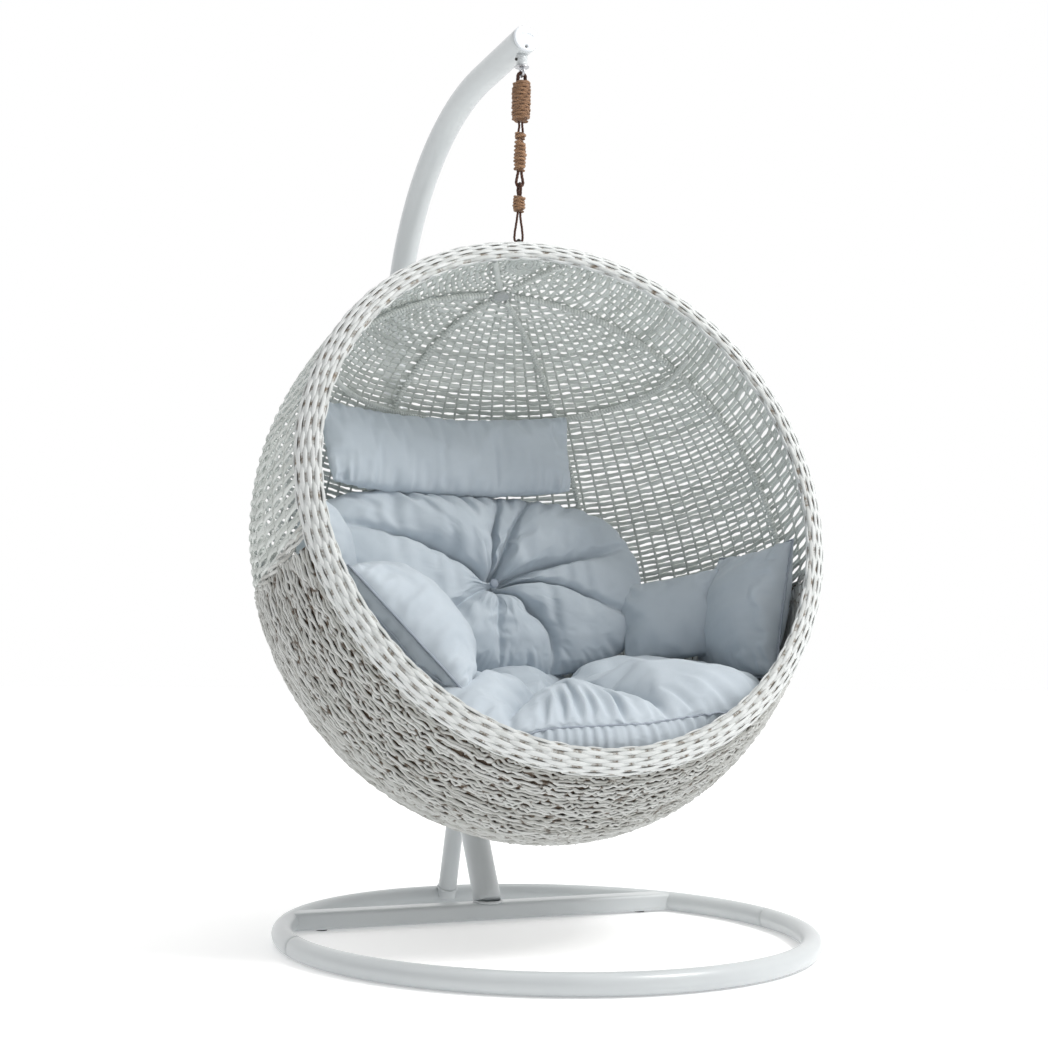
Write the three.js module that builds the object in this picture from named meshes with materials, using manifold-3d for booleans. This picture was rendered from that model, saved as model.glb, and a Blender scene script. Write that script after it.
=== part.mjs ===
// Hanging egg chair: ring base, leaning swan-neck mast, rope hanger with a swivel, and a woven
// basket with loose cushions. Millimetres, +Z up. The Z axis is the line the basket hangs on and
// the floor is z = 0. The open front of the basket faces -Y.

import * as THREE from "three";
import { mergeVertices } from "three/addons/utils/BufferGeometryUtils.js";
import Module from "manifold-3d";

const wasm = await Module();
wasm.setup();

// ---------------------------------------------------------------- driving dimensions

const GAP = 0.3; // room left between pieces that touch

// Base ring and crossbar.
const RING_RADIUS = 540; // to the middle of the tube
const RING_TUBE = 21.5; // outer radius of the tube
const RING_WALL = 2.5;
const RING_Y = -200; // the ring's centre lies ahead of the hang line
const SPIGOT_LENGTH = 70; // inner sleeves that join the two ring halves
const SPIGOT_RADIUS = 14.5;
const BAR_Y = 95;
const BAR_WIDTH = 52;
const BAR_HEIGHT = 38;
const BAR_Z = 22; // middle of the crossbar
const BAR_WALL = 3;
const PAD_X = 385;
const PAD_RADIUS = 13;

// Mast: straight leaning leg, one bend, then a nearly level arm out to the hang line.
const MAST_RADIUS = 30.5;
const MAST_WALL = 2.5;
const MAST_FOOT = [98, BAR_Z + BAR_HEIGHT / 2 + 12]; // y, z at the bottom of the leg's centreline
const MAST_LEAN = THREE.MathUtils.degToRad(28.9);
const MAST_LEG = 1155;
const MAST_BEND = 582;
const MAST_TURN_END = THREE.MathUtils.degToRad(83.4); // heading of the arm, from straight up
const MAST_TIP_Y = -15;
const MAST_JOINT = 0.66; // share of the leg below the joint between the two mast tubes
const BRACE_RADIUS = 21;
const BRACE_FOOT = [322, 20]; // y, z
const BRACE_HEAD = [262, 262];

// Swivel under the arm and the rope hanger below it.
const COLLAR_RADIUS = 12;
const COLLAR_TOP = 1925; // ends inside the arm, where it is coped to the tube
const FLANGE_TOP = 1892.5;
const FLANGE_RADIUS = 16.5;
const FLANGE_THICK = 3;
const PIN_RADIUS = 5;
const EYE_RADIUS = 9.5; // middle of the eye's wire
const EYE_WIRE = 3;
const TOP_EYE_Z = 1879;
const LOOP_STRAND = 4;
const UPPER_WRAP = { bottom: 1767, top: 1861, radius: 22 };
const KNOT = { bottom: 1727, top: 1744, radius: 13.5 };
const MIDDLE_WRAP = { bottom: 1655, top: 1726, radius: 14.5 };
const LINK_STRAND = 3.2;
const LINK_Z = 1630; // centre of the upper link's bend, where the lower link hangs
const LOWER_WRAP = { bottom: 1564, top: 1602, radius: 14.5 };
const BASKET_EYE_Z = 1492;
const TEARDROP_STRAND = 2.6;

// Basket: an egg form, wider than deep, cut off by a leaning rim plane.
const BASKET_CENTRE = [0, -101, 815];
const BASKET_TILT = THREE.MathUtils.degToRad(19.2); // the basket leans back by this much
const BASKET_YAW = THREE.MathUtils.degToRad(-2.3);
const EGG_SIDE = 609; // half width
const EGG_BACK = 454; // depth behind the middle
const EGG_FRONT = 772; // depth the front would have without its opening
const EGG_TALL = 632; // half height along the leaning axis
const RIM_DEPTH = 219; // the rim's outer edge, ahead of the middle
const RIM_LIFT = 31.5; // how far the opening sits above the middle
const RIM_NARROWING = 22; // loss of half height towards the rim
const WALL = 12; // thickness of the woven wall
const SEAM_Z = -100; // where the fine dome weave meets the coarse bowl weave
const RIM_BAND = { radius: 561, depth: 232, halfWidth: 29, halfThick: 15, hoop: 7 };
const RIB_RADIUS = 4;

// ---------------------------------------------------------------- materials

function finish(color, roughness, metalness = 0) {
  return new THREE.MeshStandardMaterial({ color, roughness, metalness });
}

const FINISHES = {
  whitePaint: () => finish(0xe9edf2, 0.3),
  whitePlastic: () => finish(0xeef1f5, 0.35),
  darkSteel: () => finish(0x2b2b2d, 0.45, 0.8),
  zincSteel: () => finish(0xb9bcc0, 0.35, 0.9),
  rubber: () => finish(0x3a3b3d, 0.9),
  jute: () => finish(0x9a6f47, 0.9),
  darkCord: () => finish(0x3b1f18, 0.75),
  paleWicker: () => finish(0xd5dadb, 0.6),
  ribSteel: () => finish(0xc9cfd0, 0.5),
  cushionCloth: () => finish(0xa7b1bf, 0.95),
};

// ---------------------------------------------------------------- helpers

const v3 = (x, y, z) => new THREE.Vector3(x, y, z);

// The closed geometry as a manifold solid.
function solidOf(geometry) {
  const bare = geometry.clone();
  bare.deleteAttribute("normal");
  bare.deleteAttribute("uv");
  const merged = mergeVertices(bare, 1e-4);
  const vertProperties = new Float32Array(merged.attributes.position.array);
  const triVerts = new Uint32Array(merged.index.array);
  return new wasm.Manifold(new wasm.Mesh({ numProp: 3, vertProperties, triVerts }));
}

function geometryOf(solid) {
  const mesh = solid.getMesh();
  const geometry = new THREE.BufferGeometry();
  geometry.setAttribute("position", new THREE.BufferAttribute(new Float32Array(mesh.vertProperties), 3));
  geometry.setIndex(Array.from(mesh.triVerts));
  geometry.computeVertexNormals();
  return geometry;
}

function cut(geometry, ...tools) {
  return geometryOf(tools.reduce((solid, tool) => solid.subtract(solidOf(tool)), solidOf(geometry)));
}

function join(...geometries) {
  return geometryOf(geometries.slice(1).reduce((solid, next) => solid.add(solidOf(next)), solidOf(geometries[0])));
}

function common(first, second) {
  return geometryOf(solidOf(first).intersect(solidOf(second)));
}

// A round section, with a bore if inner is given.
function roundSection(outer, inner, sides) {
  const shape = new THREE.Shape();
  shape.absarc(0, 0, outer, 0, 2 * Math.PI);
  if (inner) {
    const bore = new THREE.Path();
    bore.absarc(0, 0, inner, 0, 2 * Math.PI, true);
    shape.holes.push(bore);
  }
  return { shape, curveSegments: sides / 2 };
}

// A tube that follows a curve.
function tube(curve, outer, { inner = 0, sides = 10, steps = 12 } = {}) {
  const { shape, curveSegments } = roundSection(outer, inner, sides);
  return new THREE.ExtrudeGeometry(shape, { steps, curveSegments, extrudePath: curve, bevelEnabled: false });
}

function straightTube(from, to, outer, options = {}) {
  return tube(new THREE.LineCurve3(from, to), outer, { steps: 1, ...options });
}

// A solid of revolution about Z from [radius, z] pairs.
function turned(profile, segments = 16) {
  const points = profile.map(([radius, z]) => new THREE.Vector2(radius, z));
  return new THREE.LatheGeometry(points, segments).rotateX(Math.PI / 2);
}

// A ring of wire with its axis along X.
function wireEye(z, radius, wire) {
  return new THREE.TorusGeometry(radius, wire, 6, 16).rotateY(Math.PI / 2).translate(0, 0, z);
}

// A curve given by a formula of t from 0 to 1.
class FormulaCurve extends THREE.Curve {
  constructor(formula) {
    super();
    this.formula = formula;
  }

  getPoint(t, target = new THREE.Vector3()) {
    return target.copy(this.formula(t));
  }
}

const root = new THREE.Group();

function add(parent, name, geometry, material) {
  const mesh = new THREE.Mesh(geometry, FINISHES[material]());
  mesh.name = name;
  parent.add(mesh);
  return mesh;
}

// ---------------------------------------------------------------- base

// Half of the base ring from angle start to angle end, seen from above.
function ringArc(start, end, outer, inner = 0) {
  const arc = new FormulaCurve((t) => {
    const angle = start + (end - start) * t;
    return v3(RING_RADIUS * Math.cos(angle), RING_Y + RING_RADIUS * Math.sin(angle), RING_TUBE);
  });
  return tube(arc, outer, { inner, sides: 10, steps: 20 });
}

function buildBase() {
  const play = GAP / 2 / RING_RADIUS;
  const bore = RING_TUBE - RING_WALL;
  add(root, "base_ring_front", ringArc(-Math.PI + play, -play, RING_TUBE, bore), "whitePaint");
  add(root, "base_ring_rear", ringArc(play, Math.PI - play, RING_TUBE, bore), "whitePaint");

  for (const [name, side] of [["left", -1], ["right", 1]]) {
    const x = side * RING_RADIUS;
    const from = v3(x, RING_Y - SPIGOT_LENGTH / 2, RING_TUBE);
    const to = v3(x, RING_Y + SPIGOT_LENGTH / 2, RING_TUBE);
    add(root, `ring_spigot_${name}`, straightTube(from, to, SPIGOT_RADIUS, { inner: 12 }), "zincSteel");
  }

  const halfSpan = Math.sqrt(RING_RADIUS ** 2 - (BAR_Y - RING_Y) ** 2);
  const ring = ringArc(play, Math.PI - play, RING_TUBE + GAP);
  const length = 2 * halfSpan + 40;
  const outside = new THREE.BoxGeometry(length, BAR_WIDTH, BAR_HEIGHT).translate(0, BAR_Y, BAR_Z);
  const hollowSize = [length + 4, BAR_WIDTH - 2 * BAR_WALL, BAR_HEIGHT - 2 * BAR_WALL];
  const inside = new THREE.BoxGeometry(...hollowSize).translate(0, BAR_Y, BAR_Z);
  const reach = new THREE.CylinderGeometry(RING_RADIUS - 7, RING_RADIUS - 7, 100, 72);
  reach.rotateX(Math.PI / 2).translate(0, RING_Y, 0);
  add(root, "base_crossbar", cut(common(outside, reach), inside, ring), "whitePaint");

  for (const [name, side] of [["left", -1], ["right", 1]]) {
    const height = BAR_Z - BAR_HEIGHT / 2 - GAP;
    const pad = turned([[0, 0], [PAD_RADIUS, 0], [PAD_RADIUS, height], [0, height]]);
    add(root, `crossbar_pad_${name}`, pad.translate(side * PAD_X, BAR_Y, 0), "rubber");
  }
}

// ---------------------------------------------------------------- mast

// Points of the mast's centreline in the plane x = 0, by the length along it.
function mastPoint(length) {
  const [footY, footZ] = MAST_FOOT;
  const lean = MAST_LEAN;
  const kneeY = footY + MAST_LEG * Math.sin(lean);
  const kneeZ = footZ + MAST_LEG * Math.cos(lean);
  if (length <= MAST_LEG) {
    return v3(0, footY + length * Math.sin(lean), footZ + length * Math.cos(lean));
  }
  const bent = Math.min((length - MAST_LEG) / MAST_BEND, lean + MAST_TURN_END);
  const heading = lean - bent;
  const y = kneeY + MAST_BEND * (Math.cos(heading) - Math.cos(lean));
  const z = kneeZ + MAST_BEND * (Math.sin(lean) - Math.sin(heading));
  const rest = length - MAST_LEG - MAST_BEND * bent;
  return v3(0, y + rest * Math.sin(heading), z + rest * Math.cos(heading));
}

function mastLength() {
  const bendLength = MAST_BEND * (MAST_LEAN + MAST_TURN_END);
  const armStart = mastPoint(MAST_LEG + bendLength);
  return MAST_LEG + bendLength + (armStart.y - MAST_TIP_Y) / Math.sin(MAST_TURN_END);
}

function mastTube(from, to, outer, options) {
  return tube(new FormulaCurve((t) => mastPoint(from + (to - from) * t)), outer, options);
}

function braceSolid() {
  const from = v3(0, BRACE_FOOT[0], BRACE_FOOT[1]);
  const to = v3(0, BRACE_HEAD[0], BRACE_HEAD[1]);
  return straightTube(from, to, BRACE_RADIUS, { sides: 12 });
}

function braceBore() {
  const reach = v3(0, BRACE_HEAD[0] - BRACE_FOOT[0], BRACE_HEAD[1] - BRACE_FOOT[1]).multiplyScalar(0.1);
  const from = v3(0, BRACE_FOOT[0], BRACE_FOOT[1]).sub(reach);
  const to = v3(0, BRACE_HEAD[0], BRACE_HEAD[1]).add(reach);
  return straightTube(from, to, BRACE_RADIUS - MAST_WALL, { sides: 12 });
}

function buildMast() {
  const length = mastLength();
  const joint = MAST_LEG * MAST_JOINT;
  const bore = MAST_RADIUS - MAST_WALL;
  const barTop = BAR_Z + BAR_HEIGHT / 2;
  const belowBar = new THREE.BoxGeometry(400, 400, 200).translate(0, BAR_Y, barTop + GAP - 100);

  const lowerTube = mastTube(-40, joint, MAST_RADIUS, { inner: bore, sides: 12, steps: 1 });
  add(root, "mast_lower", cut(lowerTube, belowBar), "whitePaint");

  const spigot = mastTube(joint - 90, joint + 90, bore - GAP, { inner: bore - 3, sides: 12, steps: 1 });
  add(root, "mast_spigot", spigot, "zincSteel");

  const upperTube = mastTube(joint + GAP, length, MAST_RADIUS, { inner: bore, sides: 12, steps: 18 });
  const pinHole = turned([[0, 1850], [COLLAR_RADIUS + GAP, 1850], [COLLAR_RADIUS + GAP, 1930], [0, 1930]]);
  add(root, "mast_upper", cut(upperTube, pinHole), "whitePaint");

  const rearRing = ringArc(0.1, Math.PI - 0.1, RING_TUBE + GAP);
  const leg = mastTube(-40, joint, MAST_RADIUS + GAP, { sides: 12, steps: 1 });
  add(root, "rear_brace", cut(braceSolid(), braceBore(), rearRing, leg), "whitePaint");
}

// The plastic cap over the open end of the arm, with a raised crescent and a screw below it.
function buildMastCap() {
  const cap = new THREE.Group();
  cap.position.copy(mastPoint(mastLength()));
  cap.rotation.x = MAST_TURN_END;
  root.add(cap);
  const rim = MAST_RADIUS - 0.5;
  const plug = MAST_RADIUS - MAST_WALL - 1.5;
  const body = turned([[0, -1.5], [plug, -1.5], [plug, GAP], [rim, GAP], [rim, 3], [rim - 3, 5], [0, 6.5]], 24);
  const screwAt = [0, -19];
  const hole = turned([[0, 1], [3.6, 1], [3.6, 12], [0, 12]], 12).translate(...screwAt, 0);
  add(cap, "mast_end_cap", cut(body, hole), "whitePlastic");
  const screw = turned([[0, 1 + GAP], [3.2, 1 + GAP], [3.2, 3.4], [0, 4]], 12);
  add(cap, "end_cap_screw", screw.translate(...screwAt, 0), "darkSteel");
}

// ---------------------------------------------------------------- swivel and rope hanger

function buildSwivel() {
  const bearing = [
    [PIN_RADIUS + GAP, FLANGE_TOP + GAP], [COLLAR_RADIUS, FLANGE_TOP + GAP],
    [COLLAR_RADIUS, COLLAR_TOP], [PIN_RADIUS + GAP, COLLAR_TOP], [PIN_RADIUS + GAP, FLANGE_TOP + GAP],
  ];
  add(root, "swivel_collar", turned(bearing, 20), "whitePaint");
  const boltStart = COLLAR_RADIUS + GAP;
  const bolt = turned([[0, boltStart], [3.5, boltStart], [3.5, boltStart + 3.5], [0, boltStart + 4.5]], 8);
  add(root, "collar_bolt", bolt.rotateY(-Math.PI / 2).translate(0, 0, 1907), "darkSteel");

  const flangeBottom = FLANGE_TOP - FLANGE_THICK;
  const spindle = turned([
    [0, flangeBottom], [FLANGE_RADIUS, flangeBottom], [FLANGE_RADIUS, FLANGE_TOP],
    [PIN_RADIUS, FLANGE_TOP], [PIN_RADIUS, COLLAR_TOP + 10], [0, COLLAR_TOP + 10],
  ]);
  const eye = wireEye(TOP_EYE_Z, EYE_RADIUS, EYE_WIRE);
  add(root, "swivel_spindle", join(spindle, eye), "zincSteel");

  const nutBottom = COLLAR_TOP + GAP;
  const nut = turned([
    [PIN_RADIUS + GAP, nutBottom], [9, nutBottom], [9, nutBottom + 7], [PIN_RADIUS + GAP, nutBottom + 7],
    [PIN_RADIUS + GAP, nutBottom],
  ]);
  add(root, "swivel_nut", nut, "zincSteel");
}

// A strand bent into a U with its two ends at endZ and its bend around bendZ. neck is the share
// of its spread that is left at the ends, and facing turns it from the XZ to the YZ plane.
function bentStrand(endZ, bendZ, spread, strand, neck = 1, facing = 0) {
  const up = Math.sign(bendZ - endZ);
  const straight = Math.abs(bendZ - endZ);
  const bend = Math.PI * spread;
  const total = 2 * straight + bend;
  const curve = new FormulaCurve((t) => {
    const at = t * total;
    const side = Math.sign(at - total / 2);
    const fromEnd = Math.min(at, total - at);
    if (fromEnd < straight) {
      const open = neck + (1 - neck) * THREE.MathUtils.smoothstep(fromEnd, 0, straight);
      return v3(side * spread * open, 0, endZ + up * fromEnd);
    }
    const angle = (at - straight) / spread;
    return v3(-spread * Math.cos(angle), 0, bendZ + up * spread * Math.sin(angle));
  });
  return tube(curve, strand, { sides: 6, steps: 14 }).rotateZ(facing);
}

// A barrel of cord wound round the strands, bulging a little between its ends.
function woundBarrel({ bottom, top, radius }) {
  const ease = radius * 0.12;
  return turned([
    [0, bottom], [radius - 2 * ease, bottom], [radius, bottom + 2 * ease],
    [radius - ease / 2, (bottom + top) / 2], [radius, top - 2 * ease], [radius - 2 * ease, top], [0, top],
  ]);
}

function buildHangerUpper() {
  const spread = LOOP_STRAND + EYE_WIRE + 2;
  const bendZ = TOP_EYE_Z - EYE_RADIUS + EYE_WIRE + LOOP_STRAND + GAP - spread;
  const loop = bentStrand(UPPER_WRAP.top + GAP - 1.5, bendZ, spread, LOOP_STRAND);
  const wrapTop = new THREE.BoxGeometry(80, 80, 40).translate(0, 0, UPPER_WRAP.top + GAP - 20);
  add(root, "upper_loop", cut(loop, wrapTop), "darkCord");
  add(root, "upper_wrap", woundBarrel(UPPER_WRAP), "jute");
  for (const [name, x] of [["left", -4.5], ["right", 4.5]]) {
    const strand = straightTube(v3(x, 0, KNOT.top + GAP), v3(x, 0, UPPER_WRAP.bottom - GAP), 2.6);
    add(root, `hanger_strand_${name}`, strand, "darkCord");
  }
  add(root, "hanger_knot", woundBarrel(KNOT), "jute");
  add(root, "middle_wrap", woundBarrel({ ...MIDDLE_WRAP, top: KNOT.bottom - GAP }), "jute");
  const link = bentStrand(MIDDLE_WRAP.bottom - GAP, LINK_Z, 8, LINK_STRAND, 0.6);
  add(root, "upper_link", link, "darkCord");
}

function buildHangerLower() {
  const spread = 8;
  const hookTop = LINK_Z - 8 + 2 * LINK_STRAND + GAP;
  const link = bentStrand(LOWER_WRAP.top + GAP, hookTop - spread, spread, LINK_STRAND, 0.7, Math.PI / 2);
  add(root, "lower_link", link, "darkCord");
  add(root, "lower_wrap", woundBarrel(LOWER_WRAP), "jute");
  const bottom = BASKET_EYE_Z + EYE_RADIUS - EYE_WIRE - TEARDROP_STRAND - GAP;
  const teardrop = bentStrand(LOWER_WRAP.bottom - GAP, bottom + 10, 10, TEARDROP_STRAND, 0.35);
  add(root, "teardrop_loop", teardrop, "darkCord");
}

// ---------------------------------------------------------------- basket form

const basket = new THREE.Group();
basket.position.set(...BASKET_CENTRE);
basket.rotation.set(-BASKET_TILT, 0, BASKET_YAW, "ZXY");
root.add(basket);
basket.updateMatrixWorld(true);

// A point of the egg form, set in from the outer surface, for a direction from its middle.
// Inside the basket +X is its side, -Y its open front and +Z its leaning upright axis.
function eggPoint(direction, inset) {
  const depth = direction.y > 0 ? EGG_BACK : EGG_FRONT;
  const y = direction.y * (depth - inset);
  const forward = Math.min(Math.max(-y, 0), RIM_DEPTH) / RIM_DEPTH;
  const tall = EGG_TALL - RIM_NARROWING * forward ** 2 - inset;
  return v3(direction.x * (EGG_SIDE - inset), y, direction.z * tall + RIM_LIFT * forward ** 2);
}

function eggSolid(inset, around = 48, along = 26) {
  const geometry = new THREE.SphereGeometry(1, around, along);
  const position = geometry.attributes.position;
  for (let i = 0; i < position.count; i += 1) {
    const point = eggPoint(v3().fromBufferAttribute(position, i), inset);
    position.setXYZ(i, point.x, point.y, point.z);
  }
  return geometry;
}

// A direction by its angle round the upright axis, 0 at the back, and its height angle.
function towards(around, height) {
  return v3(Math.sin(around) * Math.cos(height), Math.cos(around) * Math.cos(height), Math.sin(height));
}

function buildWeave() {
  const size = 2 * EGG_FRONT;
  const ahead = new THREE.BoxGeometry(size, size, size).translate(0, -RIM_DEPTH + 7 - size / 2, 0);
  const stemHole = new THREE.CylinderGeometry(5, 5, 200, 10).rotateX(Math.PI / 2);
  stemHole.translate(0, 0, 1440).applyMatrix4(basket.matrixWorld.clone().invert());
  const wall = cut(eggSolid(0), eggSolid(WALL), ahead, stemHole);
  const below = new THREE.BoxGeometry(size, size, size).translate(0, 0, SEAM_Z + GAP / 2 - size / 2);
  const above = new THREE.BoxGeometry(size, size, size).translate(0, 0, SEAM_Z - GAP / 2 + size / 2);
  add(basket, "dome_weave", cut(wall, below), "paleWicker");
  add(basket, "bowl_weave", cut(wall, above), "paleWicker");
}

// The rim's section turned round the opening: radius is measured outwards, depth forwards.
function rimTurned(section, segments) {
  const points = section.map(([out, depth]) => new THREE.Vector2(RIM_BAND.radius + out, RIM_BAND.depth + depth));
  return new THREE.LatheGeometry(points, segments).rotateX(Math.PI).translate(0, 0, RIM_LIFT);
}

// A woven band that wraps the steel hoop and stays open towards the wall of the basket.
function buildRim() {
  const slant = THREE.MathUtils.degToRad(-31.7);
  const section = [];
  const outerSteps = 8;
  for (let i = 0; i <= outerSteps; i += 1) {
    const angle = THREE.MathUtils.degToRad(-70 + (320 * i) / outerSteps);
    const along = RIM_BAND.halfWidth * Math.cos(angle);
    const across = RIM_BAND.halfThick * Math.sin(angle);
    section.push([
      along * Math.cos(slant) - across * Math.sin(slant),
      along * Math.sin(slant) + across * Math.cos(slant),
    ]);
  }
  const innerSteps = 6;
  for (let i = 0; i <= innerSteps; i += 1) {
    const angle = THREE.MathUtils.degToRad(250 - (320 * i) / innerSteps) + slant;
    const radius = RIM_BAND.hoop + 3 * GAP;
    section.push([radius * Math.cos(angle), radius * Math.sin(angle)]);
  }
  section.push(section[0]);
  add(basket, "rim_band", rimTurned(section, 32), "paleWicker");

  const hoop = [];
  const hoopSides = 6;
  for (let i = 0; i < hoopSides; i += 1) {
    const angle = (2 * Math.PI * i) / hoopSides;
    hoop.push([(RIM_BAND.hoop - GAP) * Math.cos(angle), (RIM_BAND.hoop - GAP) * Math.sin(angle)]);
  }
  hoop.push(hoop[0]);
  add(basket, "rim_hoop", rimTurned(hoop, 32), "ribSteel");
}

// Steel ribs and hoops that carry the weave, lying against its inner face.
function buildFrame() {
  const ribInset = WALL + RIB_RADIUS + 4;
  const ringInset = ribInset + 2 * RIB_RADIUS + 2;
  const deg = THREE.MathUtils.degToRad;
  const crown = turned([[0, -3], [18, -3], [18, 3], [0, 3]]);
  add(basket, "frame_crown", crown.translate(0, 0, EGG_TALL - ribInset), "ribSteel");

  const ribs = [
    ["back_left", -27, -4], ["back_right", 33, -4], ["side_left", -87, -4],
    ["side_right", 93, -4], ["front_left", -147, 74], ["front_right", 153, 75],
  ];
  for (const [name, around, lowest] of ribs) {
    const start = 87;
    const path = new FormulaCurve((t) => {
      return eggPoint(towards(deg(around), deg(start + (lowest - start) * t)), ribInset);
    });
    const steps = lowest > 0 ? 4 : 16;
    add(basket, `rib_${name}`, tube(path, RIB_RADIUS, { sides: 6, steps }), "ribSteel");
  }

  for (const [name, height, reach] of [["upper", 46, 102], ["lower", -4.2, 96]]) {
    const path = new FormulaCurve((t) => {
      return eggPoint(towards(deg(-reach + 2 * reach * t), deg(height)), ringInset);
    });
    add(basket, `frame_ring_${name}`, tube(path, RIB_RADIUS, { sides: 6, steps: 32 }), "ribSteel");
  }
}

// The eye the hanger hooks into: a wire ring on a stem and a round foot over the weave.
function buildBasketEye() {
  const ring = wireEye(BASKET_EYE_Z, EYE_RADIUS, EYE_WIRE);
  const stemTop = BASKET_EYE_Z - EYE_RADIUS;
  const foot = turned([
    [0, 1437], [3.5, 1437], [3.5, 1453], [15, 1453], [15, 1456], [4.5, 1458], [3.5, stemTop], [0, stemTop],
  ]);
  add(root, "basket_eye", join(foot, ring), "darkSteel");
}

// ---------------------------------------------------------------- cushions

// Keeps the sign while flattening a unit coordinate, which squares off a ball.
function squared(value, power) {
  return Math.abs(value) < 1e-6 ? 0 : Math.sign(value) * Math.abs(value) ** power;
}

// Each cushion: width, thickness and height before it is turned, where its middle is, how it
// is turned about Y and Z and within its own plane in degrees, how square it is and how far its
// sides bow forward.
const CUSHIONS = {
  back_cushion: { size: [812, 140, 430], at: [-34, 258, 8], power: 0.7, bow: 34 },
  head_pillow: { size: [630, 95, 200], at: [-98, 226, 307], turn: [-2, 4], power: 0.45, bow: 64 },
  side_bolster_left: { size: [210, 110, 200], at: [-425, 110, 20], turn: [0, 62] },
  side_bolster_right: { size: [250, 90, 210], at: [400, 150, -98], turn: [0, -36] },
  throw_pillow_left: { size: [350, 190, 360], at: [-276, 22, -192], turn: [-40, -125] },
  throw_pillow_right: { size: [300, 180, 320], at: [536, 30, -124], turn: [9.5, -90, 19] },
};

// The stuffed form of a cushion in the basket's space, grown by extra all round.
function stuffed({ size, at, turn = [0, 0], power = 0.55, bow = 0 }, extra = 0) {
  const [halfWidth, halfThick, halfTall] = size.map((length) => length / 2 + extra);
  const geometry = new THREE.SphereGeometry(1, 16, 10);
  const position = geometry.attributes.position;
  for (let i = 0; i < position.count; i += 1) {
    const x = squared(position.getX(i), power);
    const y = squared(position.getY(i), 0.8);
    const z = squared(position.getZ(i), power);
    position.setXYZ(i, x * halfWidth, y * halfThick - bow * x * x, z * halfTall);
  }
  const [turnY, turnZ, spin = 0] = turn.map(THREE.MathUtils.degToRad);
  return geometry.rotateY(spin).rotateZ(turnZ).rotateY(turnY).translate(...at);
}

function grown(name) {
  return stuffed(CUSHIONS[name], 2 * GAP);
}

// The space inside the basket, clear of the frame, that is left for the cushions.
function roomInside(frameDepth) {
  return eggSolid(WALL + frameDepth + 4, 28, 16);
}

// The thick round seat fills the bowl between two level planes and yields to what lies on it.
function buildSeat() {
  const bottom = 395;
  const top = 575;
  const slab = new THREE.BoxGeometry(1000, 1000, top - bottom).translate(0, -150, (top + bottom) / 2);
  slab.applyMatrix4(basket.matrixWorld.clone().invert());
  const ahead = new THREE.BoxGeometry(1400, 400, 1400).translate(0, -400, 0);
  const neighbours = ["throw_pillow_left", "throw_pillow_right", "side_bolster_right", "back_cushion"];
  const pillows = neighbours.map(grown);
  add(basket, "seat_cushion", cut(common(roomInside(3 * RIB_RADIUS), slab), ahead, ...pillows), "cushionCloth");
}

function buildCushions() {
  buildSeat();
  const inFront = [grown("head_pillow"), grown("throw_pillow_left")];
  add(basket, "back_cushion", cut(stuffed(CUSHIONS.back_cushion), ...inFront), "cushionCloth");
  add(basket, "head_pillow", stuffed(CUSHIONS.head_pillow), "cushionCloth");
  for (const side of ["left", "right"]) {
    const name = `throw_pillow_${side}`;
    add(basket, name, common(stuffed(CUSHIONS[name]), roomInside(4 * RIB_RADIUS)), "cushionCloth");
  }
  for (const side of ["left", "right"]) {
    const name = `side_bolster_${side}`;
    const neighbours = [grown(`throw_pillow_${side}`), grown("back_cushion")];
    add(basket, name, cut(stuffed(CUSHIONS[name]), ...neighbours), "cushionCloth");
  }
  const button = turned([[0, 0], [11, 0], [11, 4], [0, 6]], 12).rotateX(Math.PI / 2);
  add(basket, "back_button", button.translate(8, 184, 20), "cushionCloth");
}

// ---------------------------------------------------------------- assembly

buildBase();
buildMast();
buildMastCap();
buildSwivel();
buildHangerUpper();
buildHangerLower();
buildWeave();
buildRim();
buildFrame();
buildBasketEye();
buildCushions();

export default root;
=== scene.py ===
"""Looks of the hanging egg chair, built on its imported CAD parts.

Stand and rope are written in millimetres on the hang axis, the basket in millimetres in its own
leaning space (+X side, -Y open front, +Z upright). Objects are made in metres in the row frame.
"""

import math

import bpy
import bmesh
import numpy as np
from mathutils import Matrix, Vector


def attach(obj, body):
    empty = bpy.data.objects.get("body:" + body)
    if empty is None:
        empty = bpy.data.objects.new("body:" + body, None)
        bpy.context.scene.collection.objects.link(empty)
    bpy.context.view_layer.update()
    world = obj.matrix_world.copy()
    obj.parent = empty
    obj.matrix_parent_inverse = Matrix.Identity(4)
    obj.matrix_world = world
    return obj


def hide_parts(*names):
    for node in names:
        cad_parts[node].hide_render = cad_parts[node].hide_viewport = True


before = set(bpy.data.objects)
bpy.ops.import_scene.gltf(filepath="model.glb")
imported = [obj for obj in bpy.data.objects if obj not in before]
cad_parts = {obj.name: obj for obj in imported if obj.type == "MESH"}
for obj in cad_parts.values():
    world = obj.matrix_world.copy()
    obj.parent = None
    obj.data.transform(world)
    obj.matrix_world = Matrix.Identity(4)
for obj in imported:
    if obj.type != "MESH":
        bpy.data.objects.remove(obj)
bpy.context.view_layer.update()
rng = np.random.default_rng(7)

# ---------------------------------------------------------------- dimensions shared with the CAD

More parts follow.
